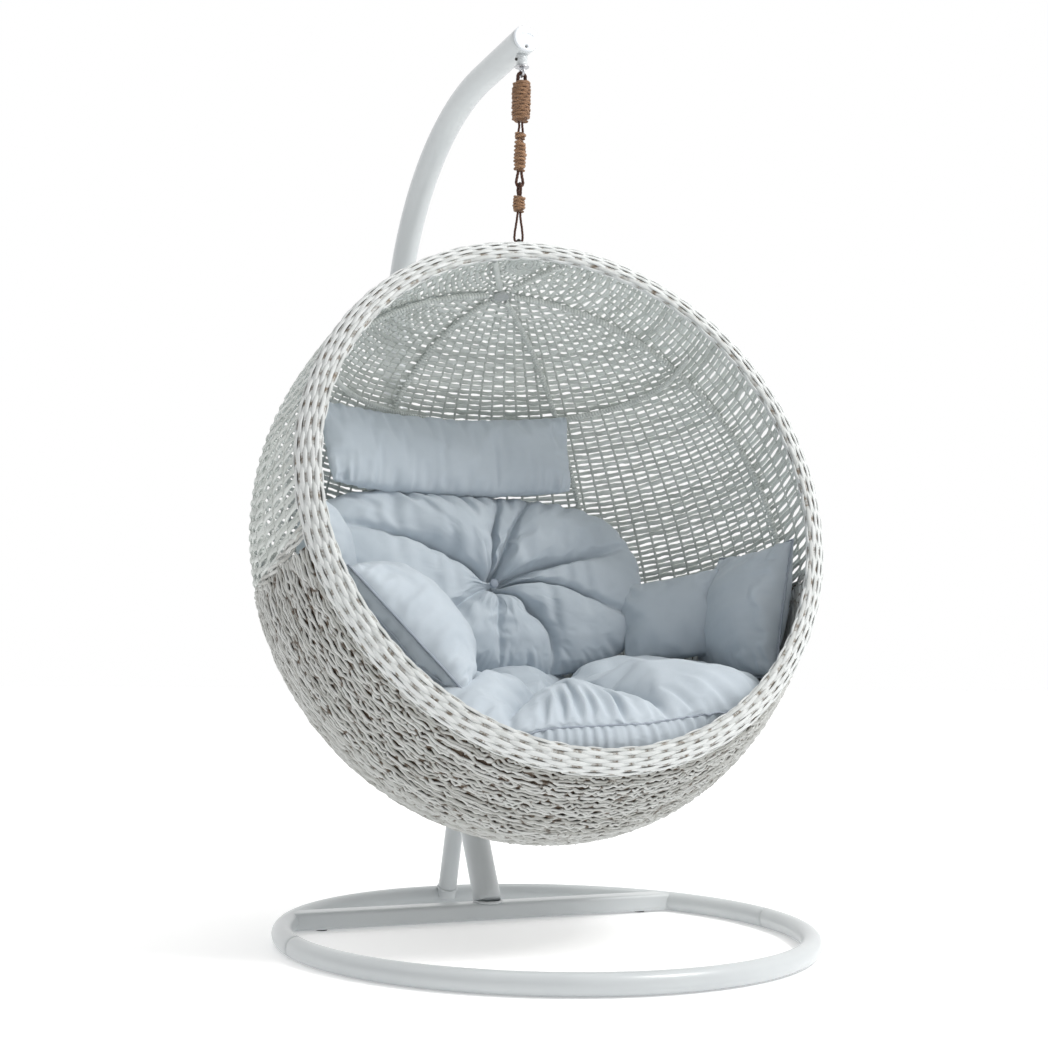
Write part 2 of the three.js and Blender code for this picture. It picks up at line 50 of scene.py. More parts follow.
RING_RADIUS, RING_TUBE, RING_Y = 540, 21.5, -200
BAR_Y, BAR_WIDTH, BAR_HEIGHT, BAR_Z = 95, 52, 38, 22
MAST_RADIUS, MAST_FOOT = 30.5, (98, 53)
MAST_LEAN, MAST_TURN_END = math.radians(28.9), math.radians(83.4)
MAST_LEG, MAST_BEND, MAST_TIP_Y, MAST_JOINT = 1155, 582, -15, 0.66
BRACE_RADIUS, BRACE_FOOT, BRACE_HEAD = 21, (322, 20), (262, 262)
BASKET_CENTRE, BASKET_TILT, BASKET_YAW = (0, -101, 815), math.radians(19.2), math.radians(-2.3)
EGG_SIDE, EGG_BACK, EGG_FRONT, EGG_TALL = 609, 454, 772, 632
RIM_DEPTH, RIM_LIFT, RIM_NARROWING = 219, 31.5, 22
RIM_BAND_RADIUS, RIM_BAND_DEPTH, RIM_HALF_WIDTH, RIM_HALF_THICK = 561, 232, 29, 15
RIM_SLANT = math.radians(-31.7)
SEAM_Z = -100
RIB_INSET = 20
WEAVE_FRONT = -222

BASKET = (
    Matrix.Translation(Vector(BASKET_CENTRE) / 1000)
    @ Matrix.Rotation(BASKET_YAW, 4, "Z")
    @ Matrix.Rotation(-BASKET_TILT, 4, "X")
)


# ---------------------------------------------------------------- mesh helpers

MERGE = 1e-6
SHORTEST_RUN = 4


def smoothstep(t):
    t = np.clip(t, 0, 1)
    return t * t * (3 - 2 * t)


def wave_noise(s, seed, wavelength):
    """A smooth random function of s, about -1 to 1, made of a few sines."""
    own = np.random.default_rng(seed)
    total = np.zeros_like(np.asarray(s, float))
    for octave in range(3):
        length = wavelength * own.uniform(0.55, 1.6) / (1 + octave * 0.7)
        total = total + np.sin(2 * math.pi * np.asarray(s, float) / length + own.uniform(0, 6.28))
    return total / 2.2


def unit(vectors):
    return vectors / np.maximum(np.linalg.norm(vectors, axis=-1, keepdims=True), 1e-9)


def arc_length(path):
    """The length along a path up to each of its points."""
    return np.concatenate([[0], np.cumsum(np.linalg.norm(np.diff(path, axis=0), axis=1))])


def wrapped(angle):
    """An angle brought to between minus pi and pi."""
    return (angle + math.pi) % (2 * math.pi) - math.pi


class Strips:
    """Collects swept strands as one mesh, with a tone for each strand and a depth at each point."""

    def __init__(self):
        self.verts, self.quads, self.tone, self.depth, self.count = [], [], [], [], 0

    def sweep(self, centres, normals, wide, thick, sides=6, closed=False, tone=0.5, depth=None, turn=0.0):
        """A strand along centres. wide lies in the surface, thick along the normals."""
        centres = np.asarray(centres, float)
        n = len(centres)
        if n < 3:
            return
        if closed:
            tangents = unit(np.roll(centres, -1, 0) - np.roll(centres, 1, 0))
        else:
            tangents = unit(np.gradient(centres, axis=0))
        normals = np.asarray(normals, float)
        normals = unit(normals - tangents * (normals * tangents).sum(1, keepdims=True))
        across = np.cross(tangents, normals)
        wide, thick = np.broadcast_to(wide, n).copy(), np.broadcast_to(thick, n).copy()
        if not closed:
            ends = np.minimum(np.arange(n), np.arange(n)[::-1])
            shrink = np.where(ends == 0, 0.55, 1.0)
            wide, thick = wide * shrink, thick * shrink
        angle = 2 * math.pi * np.arange(sides) / sides + turn
        offsets = (
            across[:, None, :] * (wide[:, None] * np.cos(angle))[:, :, None]
            + normals[:, None, :] * (thick[:, None] * np.sin(angle))[:, :, None]
        )
        ring = (centres[:, None, :] + offsets).reshape(-1, 3)
        rows = n if closed else n - 1
        i = np.arange(rows)[:, None] * sides
        j = ((np.arange(rows) + 1) % n)[:, None] * sides
        k = np.arange(sides)[None, :]
        k2 = (k + 1) % sides
        quads = np.stack([i + k, i + k2, j + k2, j + k], -1).reshape(-1, 4)
        if not closed:
            last = (n - 1) * sides
            for c in range(1, sides - 1, 2):
                quads = np.vstack([quads, [[0, (c + 2) % sides, c + 1, c]]])
                quads = np.vstack([quads, [[last, last + c, last + c + 1, last + (c + 2) % sides]]])
        self.verts.append(ring)
        self.quads.append(quads + self.count)
        self.tone.append(np.full(len(ring), tone))
        deep = np.zeros(n) if depth is None else np.asarray(depth, float)
        self.depth.append(np.repeat(deep, sides))
        self.count += len(ring)

    def make(self, name, material, matrix=None):
        quads = np.vstack(self.quads)
        obj = mesh_object(name, np.vstack(self.verts) / 1000, quads, material)
        for label, values in (("tone", self.tone), ("deep", self.depth)):
            attribute = obj.data.attributes.new(label, "FLOAT", "POINT")
            attribute.data.foreach_set("value", np.concatenate(values).astype(np.float32))
        if matrix is not None:
            obj.data.transform(matrix)
        return obj


def mesh_object(name, verts, faces, material):
    """A smooth mesh object from arrays of points in metres and of faces with equal corner counts."""
    faces = np.asarray(faces, np.int32)
    mesh = bpy.data.meshes.new(name)
    mesh.vertices.add(len(verts))
    mesh.vertices.foreach_set("co", np.asarray(verts, np.float32).ravel())
    mesh.loops.add(faces.size)
    mesh.loops.foreach_set("vertex_index", faces.ravel())
    mesh.polygons.add(len(faces))
    mesh.polygons.foreach_set("loop_start", np.arange(0, faces.size, faces.shape[1], dtype=np.int32))
    mesh.polygons.foreach_set("use_smooth", np.ones(len(faces), bool))
    mesh.update(calc_edges=True)
    mesh.validate()
    mesh.materials.append(material)
    obj = bpy.data.objects.new(name, mesh)
    bpy.context.scene.collection.objects.link(obj)
    return obj


def recalculate(obj, merge=0.0):
    """Merges points closer than merge and points every face outwards."""
    work = bmesh.new()
    work.from_mesh(obj.data)
    if merge:
        bmesh.ops.remove_doubles(work, verts=work.verts, dist=merge)
    bmesh.ops.recalc_face_normals(work, faces=work.faces)
    work.to_mesh(obj.data)
    work.free()
    return obj


def tube_quads(rows, columns):
    """Faces between rings of points: rows rings of columns points, each ring closed on itself."""
    i = np.arange(rows - 1)[:, None] * columns
    k = np.arange(columns)[None, :]
    k2 = (k + 1) % columns
    return np.stack([i + k, i + k2, i + columns + k2, i + columns + k], -1).reshape(-1, 4)


def place(obj, body, slot, *nodes):
    """Rides obj on a body and hides the CAD nodes that it stands for. slot, the name of its finish, is not
    used.
    """
    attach(obj, body)
    if nodes:
        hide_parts(*nodes)
    return obj


def turned(name, profile, material, matrix=None, segments=48):
    """A solid of revolution about Z from (radius, z) pairs in millimetres."""
    radius, height = np.array(profile, float).T[..., None]
    angle = 2 * math.pi * np.arange(segments) / segments
    rings = np.stack([radius * np.cos(angle), radius * np.sin(angle), height + 0 * angle], -1)
    quads = tube_quads(len(profile), segments)
    obj = recalculate(mesh_object(name, rings.reshape(-1, 3) / 1000, quads, material), MERGE)
    if matrix is not None:
        obj.data.transform(matrix)
    return obj


# ---------------------------------------------------------------- materials


class Nodes:
    """A Principled material with short calls for the nodes that feed it."""

    def __init__(self, name, **sockets):
        self.material = bpy.data.materials.new(name)
        self.material.use_nodes = True
        self.tree = self.material.node_tree
        self.shader = self.tree.nodes["Principled BSDF"]
        for socket, value in sockets.items():
            self.shader.inputs[socket.replace("_", " ")].default_value = value
        self.coords = self.tree.nodes.new("ShaderNodeTexCoord").outputs["Object"]

    def link(self, source, target):
        self.tree.links.new(source, target)

    def noise(self, scale, detail=3.0, rough=0.5, distortion=0.0, coords=None):
        node = self.tree.nodes.new("ShaderNodeTexNoise")
        node.inputs["Scale"].default_value = scale
        node.inputs["Detail"].default_value = detail
        node.inputs["Roughness"].default_value = rough
        node.inputs["Distortion"].default_value = distortion
        self.link(coords or self.coords, node.inputs["Vector"])
        return node.outputs["Fac"]

    def bands(self, scale, axis, distortion):
        node = self.tree.nodes.new("ShaderNodeTexWave")
        node.bands_direction = axis
        node.inputs["Scale"].default_value = scale
        node.inputs["Distortion"].default_value = distortion
        node.inputs["Detail"].default_value = 1.0
        node.inputs["Detail Scale"].default_value = 2.0
        self.link(self.coords, node.inputs["Vector"])
        return node.outputs["Fac"]

    def stretched(self, scale):
        node = self.tree.nodes.new("ShaderNodeMapping")
        node.inputs["Scale"].default_value = scale
        self.link(self.coords, node.inputs["Vector"])
        return node.outputs["Vector"]

    def attribute(self, name):
        node = self.tree.nodes.new("ShaderNodeAttribute")
        node.attribute_name = name
        return node.outputs["Fac"]

    def ramp(self, source, stops):
        node = self.tree.nodes.new("ShaderNodeValToRGB")
        elements = node.color_ramp.elements
        while len(elements) < len(stops):
            elements.new(0.5)
        for element, (position, colour) in zip(elements, stops):
            element.position = position
            element.color = (*colour, 1)
        self.link(source, node.inputs["Fac"])
        return node.outputs["Color"]

    def math(self, operation, first, second):
        node = self.tree.nodes.new("ShaderNodeMath")
        node.operation = operation
        for socket, value in zip(node.inputs, (first, second)):
            if isinstance(value, (int, float)):
                socket.default_value = value
            else:
                self.link(value, socket)
        return node.outputs[0]

    def mix(self, factor, first, second):
        node = self.tree.nodes.new("ShaderNodeMix")
        node.data_type = "RGBA"
        for socket, value in ((node.inputs[0], factor), (node.inputs[6], first), (node.inputs[7], second)):
            if isinstance(value, (int, float)):
                socket.default_value = value
            elif isinstance(value, tuple):
                socket.default_value = (*value, 1)
            else:
                self.link(value, socket)
        return node.outputs[2]

    def colour(self, source):
        self.link(source, self.shader.inputs["Base Color"])

    def roughness(self, source, low, high):
        node = self.tree.nodes.new("ShaderNodeMapRange")
        node.inputs["To Min"].default_value = low
        node.inputs["To Max"].default_value = high
        self.link(source, node.inputs["Value"])
        self.link(node.outputs["Result"], self.shader.inputs["Roughness"])

    def bump(self, height, distance, strength=1.0):
        node = self.tree.nodes.new("ShaderNodeBump")
        node.inputs["Strength"].default_value = strength
        node.inputs["Distance"].default_value = distance
        self.link(height, node.inputs["Height"])
        previous = self.shader.inputs["Normal"].links
        if previous:
            self.link(previous[0].from_socket, node.inputs["Normal"])
        self.link(node.outputs["Normal"], self.shader.inputs["Normal"])


def painted_steel(name, light, dark, rough=0.3):
    m = Nodes(name, Coat_Weight=0.25, Coat_Roughness=0.2)
    soft = m.noise(3.5, 4, 0.55)
    m.colour(m.ramp(soft, [(0.3, dark), (0.7, light)]))
    m.roughness(m.noise(60, 4, 0.6), rough - 0.06, rough + 0.1)
    m.bump(m.noise(420, 2, 0.5), 0.00015, 0.35)
    m.bump(m.noise(18, 3, 0.5), 0.0006, 0.12)
    return m.material


def bare_metal(name, light, dark, rough, metallic=0.95):
    m = Nodes(name, Metallic=metallic)
    m.colour(m.ramp(m.noise(140, 5, 0.65), [(0.3, dark), (0.65, light)]))
    m.roughness(m.noise(260, 3, 0.6), rough - 0.1, rough + 0.15)
    m.bump(m.noise(700, 3, 0.6), 0.0002, 0.3)
    return m.material


def moulded(name, light, dark, rough):
    m = Nodes(name)
    m.colour(m.ramp(m.noise(25, 3, 0.5), [(0.3, dark), (0.7, light)]))
    m.roughness(m.noise(180, 3, 0.5), rough - 0.08, rough + 0.1)
    m.bump(m.noise(900, 2, 0.5), 0.0001, 0.3)
    return m.material


def wicker(name, light, shade, bare_and_shade, bare_and_shade_depth, grain=1.0):
    """Painted wicker: each strand has its own tone, and low spots take a dark brown that is partly the bare
    fibre's colour and partly painted shade.
    """
    m = Nodes(name, Specular_IOR_Level=0.35)
    tone = m.attribute("tone")
    patch = m.noise(38, 4, 0.6)
    fine = m.noise(340, 4, 0.65, 0.4)
    blend = m.math("ADD", m.math("MULTIPLY", tone, 0.55), m.math("MULTIPLY", patch, 0.6))
    painted = m.ramp(blend, [(0.25, shade), (0.75, light)])
    uneven = m.math("MULTIPLY", m.math("SUBTRACT", m.noise(95, 4, 0.7), 0.5), 0.9)
    # Low spots, where strands dip under their neighbours, turn dark brown: partly bare fibre, partly
    # painted shade in the recesses.
    low = m.math("ADD", m.attribute("deep"), uneven)
    bare_and_shade_mask = m.ramp(low, [(bare_and_shade_depth, (0, 0, 0)), (bare_and_shade_depth + 0.22, (1, 1, 1))])
    m.colour(m.mix(bare_and_shade_mask, painted, bare_and_shade))
    m.roughness(fine, 0.45, 0.75)
    m.bump(fine, 0.0007 * grain, 0.6)
    m.bump(m.noise(90, 3, 0.6), 0.001 * grain, 0.35)
    return m.material


def cord_fibre(name, light, dark):
    m = Nodes(name, Sheen_Weight=0.25, Sheen_Roughness=0.5, Specular_IOR_Level=0.2)
    tone = m.attribute("tone")
    fibres = m.noise(900, 5, 0.7, 1.2)
    blend = m.math("ADD", m.math("MULTIPLY", tone, 0.5), m.math("MULTIPLY", fibres, 0.6))
    m.colour(m.ramp(blend, [(0.25, dark), (0.8, light)]))
    m.roughness(fibres, 0.75, 0.95)
    m.bump(fibres, 0.0012, 0.8)
    return m.material


def cotton(name, light, dark, tint):
    """Plain-woven cotton: fine crossed threads, slubs, and a cloudy wash."""
    m = Nodes(name, Sheen_Weight=0.18, Sheen_Roughness=0.45, Specular_IOR_Level=0.15)
    cloud = m.noise(7, 4, 0.6)
    slub = m.noise(1.0, 3, 0.6, 0.0, m.stretched((900, 120, 120)))
    slub_b = m.noise(1.0, 3, 0.6, 0.0, m.stretched((120, 120, 900)))
    warp = m.bands(420, "X", 1.2)
    weft = m.bands(420, "Z", 1.2)
    depth = m.bands(420, "Y", 1.2)
    threads = m.math("MULTIPLY", m.math("ADD", m.math("ADD", warp, weft), depth), 0.33)
    washed = m.ramp(cloud, [(0.3, dark), (0.7, light)])
    mottled = m.math("ADD", m.math("MULTIPLY", slub, 0.5), m.math("MULTIPLY", slub_b, 0.5))
    m.colour(m.mix(m.math("MULTIPLY", mottled, 0.28), washed, tint))
    m.roughness(threads, 0.82, 0.96)
    m.bump(threads, 0.00035, 0.45)
    m.bump(mottled, 0.0005, 0.35)
    m.bump(m.noise(55, 4, 0.6), 0.0016, 0.22)
    return m.material


WHITE_PAINT = painted_steel("white_paint", (0.60, 0.63, 0.64), (0.555, 0.585, 0.60))
CAP_PLASTIC = moulded("cap_plastic", (0.76, 0.79, 0.82), (0.70, 0.74, 0.78), 0.4)
ZINC = bare_metal("zinc_steel", (0.62, 0.63, 0.65), (0.4, 0.41, 0.43), 0.35)
DARK_STEEL = bare_metal("dark_steel", (0.07, 0.065, 0.06), (0.02, 0.02, 0.02), 0.45, 0.8)
RIB_STEEL = bare_metal("rib_steel", (0.55, 0.57, 0.57), (0.42, 0.44, 0.44), 0.5, 0.3)
RUBBER = moulded("pad_rubber", (0.045, 0.045, 0.05), (0.025, 0.025, 0.03), 0.85)
JUTE = cord_fibre("jute", (0.43, 0.25, 0.14), (0.10, 0.048, 0.025))
DARK_CORD = cord_fibre("dark_cord", (0.10, 0.038, 0.022), (0.022, 0.01, 0.007))
DOME_WICKER = wicker("dome_wicker", (0.70, 0.73, 0.71), (0.46, 0.49, 0.465), (0.30, 0.27, 0.22), 0.95)
BOWL_WICKER = wicker(
    "bowl_wicker", (0.59, 0.60, 0.585), (0.33, 0.33, 0.305), (0.10, 0.072, 0.05), 0.57, 1.5
)
RIM_WICKER = wicker("rim_wicker", (0.70, 0.72, 0.715), (0.41, 0.425, 0.41), (0.20, 0.16, 0.12), 0.66)
# A near-black brown for the strips behind the bowl's rows: painted shade seen through the weave's gaps,
# partly the bare wicker's own brown.
BARE_AND_SHADE_BACKING = wicker("bowl_bare_and_shade_backing", (0.12, 0.085, 0.06), (0.045, 0.03, 0.02), (0.03, 0.02, 0.015), 0.9)
CLOTH = cotton("cushion_cotton", (0.535, 0.595, 0.65), (0.46, 0.52, 0.575), (0.62, 0.67, 0.715))
PIPING = cotton("cushion_piping", (0.36, 0.40, 0.46), (0.28, 0.32, 0.38), (0.46, 0.5, 0.56))


# ---------------------------------------------------------------- stand


def circle_path(start, end, steps, radius=RING_RADIUS, z=RING_TUBE):
    angle = np.linspace(start, end, steps)
    return np.stack([radius * np.cos(angle), RING_Y + radius * np.sin(angle), np.full(steps, float(z))], -1)


def mast_path(lengths):
    """Points of the mast's centreline and their headings, by the length along it."""
    lengths = np.asarray(lengths, float)
    lean = MAST_LEAN
    knee = (MAST_FOOT[0] + MAST_LEG * math.sin(lean), MAST_FOOT[1] + MAST_LEG * math.cos(lean))
    bent = np.clip((lengths - MAST_LEG) / MAST_BEND, 0, lean + MAST_TURN_END)
    heading = lean - bent
    rest = lengths - MAST_LEG - MAST_BEND * bent
    y = knee[0] + MAST_BEND * (np.cos(heading) - math.cos(lean)) + rest * np.sin(heading)
    z = knee[1] + MAST_BEND * (math.sin(lean) - np.sin(heading)) + rest * np.cos(heading)
    return np.stack([np.zeros_like(y), y, z], -1), heading


def mast_length():
    bend = MAST_BEND * (MAST_LEAN + MAST_TURN_END)
    arm = mast_path([MAST_LEG + bend])[0][0]
    return MAST_LEG + bend + (arm[1] - MAST_TIP_Y) / math.sin(MAST_TURN_END)


def pipe(name, path, radius, material, side=(1, 0, 0), bevel=1.2, sides=40):
    """A round tube with softly broken ends."""
    path = np.asarray(path, float)
    first, last = unit(path[1] - path[0]), unit(path[-1] - path[-2])
    path = np.vstack([path[0], path[0] + first * bevel, path[1:-1], path[-1] - last * bevel, path[-1]])
    width = np.full(len(path), float(radius))
    width[[0, -1]] = (radius - bevel) / 0.55
    strip = Strips()
    strip.sweep(path, np.tile(np.asarray(side, float), (len(path), 1)), width, width, sides)
    return recalculate(strip.make(name, material))


def weld(strip, loop, centre):
    """A bead of weld round a joint, rippled like run metal."""
    loop = np.asarray(loop, float)
    s = np.arange(len(loop))
    swell = 3.2 * (1 + 0.16 * np.sin(s * 1.9) + 0.1 * wave_noise(s, 5, 9))
    strip.sweep(loop, loop - np.asarray(centre, float), swell, swell, 8, closed=True)


def ellipse_loop(centre, first, second, steps=72):
    angle = np.linspace(0, 2 * math.pi, steps, endpoint=False)[:, None]
    centre, first, second = (np.asarray(vector, float) for vector in (centre, first, second))
    return centre + np.cos(angle) * first + np.sin(angle) * second


def build_stand():
    up = (0, 0, 1)
    play = 0.5 / RING_RADIUS
    front = pipe("ring_front_tube", circle_path(-math.pi + play, -play, 140), RING_TUBE, WHITE_PAINT, up)
    place(front, "stand", "white_paint", "base_ring_front")
    rear = pipe("ring_rear_tube", circle_path(play, math.pi - play, 140), RING_TUBE, WHITE_PAINT, up)
    place(rear, "stand", "white_paint", "base_ring_rear")

    # The crossbar: an oblong tube with round edges, coped into the ring.
    corner, steps = 9.0, 7
    section = []
    for quarter in range(4):
        sx, sz = ((1, 1), (-1, 1), (-1, -1), (1, -1))[quarter]
        for i in range(steps):
            angle = math.pi / 2 * (quarter + i / (steps - 1))
            section.append((
                sx * (BAR_WIDTH / 2 - corner) + corner * math.cos(angle),
                sz * (BAR_HEIGHT / 2 - corner) + corner * math.sin(angle),
            ))
    section = np.array(section)
    steps = 40
    depths = BAR_Y + section[:, 0]
    reach = np.sqrt((RING_RADIUS - 5) ** 2 - (depths - RING_Y) ** 2)
    xs = np.linspace(-1, 1, steps)[:, None] * reach[None, :]
    rings = np.stack([xs, depths + 0 * xs, BAR_Z + section[:, 1] + 0 * xs], -1).reshape(-1, 3)
    quads = tube_quads(steps, len(section))
    bar = recalculate(mesh_object("crossbar_tube", rings / 1000, quads, WHITE_PAINT))
    place(bar, "stand", "white_paint", "base_crossbar")

    joint, length = MAST_LEG * MAST_JOINT, mast_length()
    lower_path = mast_path(np.linspace(-12, joint, 30))[0]
    lower = pipe("mast_lower_tube", lower_path, MAST_RADIUS, WHITE_PAINT, sides=56)
    place(lower, "stand", "white_paint", "mast_lower")
    upper_path = mast_path(np.linspace(joint + 0.6, length, 130))[0]
    upper = pipe("mast_upper_tube", upper_path, MAST_RADIUS, WHITE_PAINT, sides=56)
    place(upper, "stand", "white_paint", "mast_upper")
    foot, head = np.array([0, *BRACE_FOOT], float), np.array([0, *BRACE_HEAD], float)
    brace = pipe("rear_brace_tube", np.linspace(foot, head, 24), BRACE_RADIUS, WHITE_PAINT)
    place(brace, "stand", "white_paint", "rear_brace")

    welds = Strips()
    bar_top = BAR_Z + BAR_HEIGHT / 2
    foot_y = MAST_FOOT[0] + (bar_top - MAST_FOOT[1]) * math.tan(MAST_LEAN)
    foot_loop = ellipse_loop((0, foot_y, bar_top + 1), (MAST_RADIUS, 0, 0), (0, 26, 0))
    weld(welds, foot_loop, (0, foot_y, 40))
    along = unit(head - foot)
    low = foot + along * 22
    weld(welds, ellipse_loop(low, (BRACE_RADIUS, 0, 0), (0, 20.5, 7)), low)
    lean = np.array([0, math.sin(MAST_LEAN), math.cos(MAST_LEAN)])
    touch = head - along * 30
    weld(welds, ellipse_loop(touch, (BRACE_RADIUS, 0, 0), lean * 23), touch)
    place(welds.make("weld_beads", WHITE_PAINT), "stand", "white_paint")


def build_cap():
    """The moulded cap of the arm: a dished disc with a crescent groove above a screw."""
    radius, rings, segments = MAST_RADIUS - 0.5, 44, 128
    r = np.concatenate([np.linspace(0, 0.97, rings), [1.0, 1.0, 0.93]]) * radius
    angle = 2 * math.pi * np.arange(segments) / segments
    x, y = r[:, None] * np.cos(angle), r[:, None] * np.sin(angle)
    height = 6.2 - 0.9 * (r / radius)[:, None] ** 2 + 0 * x
    height -= 2.2 * smoothstep((r[:, None] - radius * 0.88) / (radius * 0.12)) + 0 * x
    arc = np.hypot(x, y + 24) - 35
    inside = smoothstep((20 - np.abs(x)) / 5) * smoothstep((y - 4) / 3)
    height -= 1.7 * np.exp(-((arc / 1.7) ** 2)) * inside
    screw_y = -19.0
    from_screw = np.hypot(x, y - screw_y)
    height -= 2.6 * (1 - smoothstep((from_screw - 3.4) / 0.9))
    height[-2], height[-1] = 2.0, 0.3
    height[-3] = 3.1
    points = np.stack([x, y, height], -1).reshape(-1, 3) / 1000
    centre = mast_path([mast_length()])[0][0]
    matrix = Matrix.Translation(Vector(centre) / 1000) @ Matrix.Rotation(MAST_TURN_END, 4, "X")
    cap = mesh_object("mast_cap_disc", points, tube_quads(len(r), segments), CAP_PLASTIC)
    recalculate(cap, MERGE)
    cap.data.transform(matrix)
    place(cap, "stand", "cap_plastic", "mast_end_cap")

    screw = Matrix.Translation((0, screw_y / 1000, 0.0028))
    profile = [(0, 0.2), (0.7, 0.2), (1.1, 0.9), (2.6, 0.7), (3.1, 0.1), (3.1, -1)]
    head = turned("cap_screw_head", profile, DARK_STEEL, matrix @ screw, 24)
    place(head, "stand", "dark_steel", "end_cap_screw")


# ---------------------------------------------------------------- rope hanger


def helix(strip, bottom, top, radius, cord, seed):
    """Cord wound in close turns round a barrel, each turn a little off the last."""
    turns = (top - bottom - 2 * cord) / (2 * cord * 0.93)
    t = np.linspace(0, turns, max(24, int(turns * 34)))
    share = t / turns
    swell = 1 - 0.1 * np.abs(2 * share - 1) ** 3
    wobble = 0.55 * wave_noise(t, seed, 1.9)
    own = np.random.default_rng(seed)
    level = np.interp(t, np.arange(int(turns) + 2), own.uniform(-0.7, 0.7, int(turns) + 2))
    reach = (radius - cord) * swell + wobble + 0.8 * level
    angle = 2 * math.pi * t
    z = bottom + cord + (top - bottom - 2 * cord) * share + 0.45 * wave_noise(t, seed + 1, 2.3)
    path = np.stack([reach * np.cos(angle), reach * np.sin(angle), z], -1)
    out = np.stack([np.cos(angle), np.sin(angle), 0 * angle], -1)
    lumps = 1 + 0.1 * wave_noise(t, seed + 2, 0.45)
    twist_rounds(strip, path, out, cord * lumps, 2, 0.42, tone=0.55, seed=seed)


def twist_rounds(strip, path, normals, radius, plies, pitch_share, tone=0.5, seed=0):
    """Lays two or three plies round a path, as twisted cord is."""
    path = np.asarray(path, float)
    s = arc_length(path)
    radius = np.broadcast_to(radius, len(path))
    tangents = unit(np.gradient(path, axis=0))
    normals = unit(normals - tangents * (normals * tangents).sum(1, keepdims=True))
    across = np.cross(tangents, normals)
    pitch = float(np.mean(radius)) * 2 / pitch_share * 2
    own = np.random.default_rng(seed)
    for ply in range(plies):
        angle = 2 * math.pi * (s / pitch + ply / plies)
        offset = radius[:, None] * 0.42
        line = path + offset * (np.cos(angle)[:, None] * normals + np.sin(angle)[:, None] * across)
        strip.sweep(line, normals, radius * 0.66, radius * 0.66, 7, tone=tone + own.uniform(-0.22, 0.22))


def bent(end_z, bend_z, spread, neck=1.0, steps=60):
    """A U of a strand in the XZ plane: its ends, narrowed to a neck, at end_z and its bend round bend_z."""
    up, straight = math.copysign(1, bend_z - end_z), abs(bend_z - end_z)
    total = 2 * straight + math.pi * spread
    at = np.linspace(0, total, steps)
    angle = np.clip((at - straight) / spread, 0, math.pi)
    z = np.where(at < straight, end_z + up * at, end_z + up * (total - at))
    on_bend = (at >= straight) & (at <= straight + math.pi * spread)
    z = np.where(on_bend, bend_z + up * spread * np.sin(angle), z)
    open_share = neck + (1 - neck) * smoothstep(np.minimum(at, total - at) / max(straight, 1e-6))
    return np.stack([-spread * np.cos(angle) * open_share, 0 * at, z], -1)


def cord_loop(name, path, radius, body, *nodes, facing=0.0, seed=1):
    """A loop of three-ply cord in the XZ plane, turned about Z by facing."""
    if facing:
        path = path @ np.array(Matrix.Rotation(facing, 3, "Z")).T
    strip = Strips()
    s = np.linspace(0, 1, len(path))
    path = path + 0.35 * np.stack([wave_noise(s, seed, 0.4), wave_noise(s, seed + 9, 0.5), 0 * s], -1)
    side = np.tile([0.0, 1.0, 0.0] if not facing else [1.0, 0.0, 0.0], (len(path), 1))
    twist_rounds(strip, path, side, radius, 3, 0.55, seed=seed)
    return place(strip.make(name, DARK_CORD), body, "dark_cord", *nodes)


def build_hanger():
    body = "upper_hanger"
    cord_loop("top_loop_cord", bent(1855, 1868.3, 9, steps=70), 4, body, "upper_loop", seed=3)
    for name, bottom, top, radius, cord, node, rides, seed in (
        ("upper_binding", 1767, 1861, 22, 4.1, "upper_wrap", body, 11),
        ("knot_binding", 1727, 1744, 13.5, 3.4, "hanger_knot", body, 23),
        ("middle_binding", 1655, 1726.7, 14.5, 4.4, "middle_wrap", body, 31),
        ("lower_binding", 1564, 1602, 14.5, 3.6, "lower_wrap", "lower_hanger", 47),
    ):
        strip = Strips()
        helix(strip, bottom, top, radius, cord, seed)
        core = np.stack([np.zeros(8), np.zeros(8), np.linspace(bottom + 1, top - 1, 8)], -1)
        strip.sweep(core, np.tile([1.0, 0, 0], (8, 1)), radius * 0.72, radius * 0.72, 20, tone=0.1)
        place(strip.make(name, JUTE), rides, "jute_wrap", node)

    for side, x in (("left", -4.5), ("right", 4.5)):
        z = np.linspace(1740, 1772, 24)
        path = np.stack([x + 0.8 * np.sin(z / 5 + x), 0.7 * np.cos(z / 6), z], -1)
        strip = Strips()
        twist_rounds(strip, path, np.tile([0.0, 1, 0], (24, 1)), 2.6, 3, 0.55, seed=5)
        place(strip.make(f"strand_{side}", DARK_CORD), body, "dark_cord", f"hanger_strand_{side}")
    cord_loop("upper_link_cord", bent(1657, 1630, 8, 0.5), 3.2, body, "upper_link", seed=7)
    hook = 1630 - 8 + 2 * 3.2 + 0.3
    lower = bent(1600, hook - 8, 8, 0.6)
    cord_loop("lower_link_cord", lower, 3.2, "lower_hanger", "lower_link", facing=math.pi / 2, seed=9)
    eye_bottom = 1492 + 9.5 - 3 - 2.6 - 0.3
    drop = bent(1566, eye_bottom + 10, 10, 0.3, 90)
    cord_loop("teardrop_cord", drop, 2.6, "lower_hanger", "teardrop_loop", seed=13)


def eye_ring(name, z, material):
    """A round wire eye in the YZ plane."""
    strip = Strips()
    loop = ellipse_loop((0, 0, z), (0, 9.5, 0), (0, 0, 9.5), 64)
    strip.sweep(loop, loop - np.array([0, 0, z], float), 3, 3, 14, closed=True)
    return recalculate(strip.make(name, material))


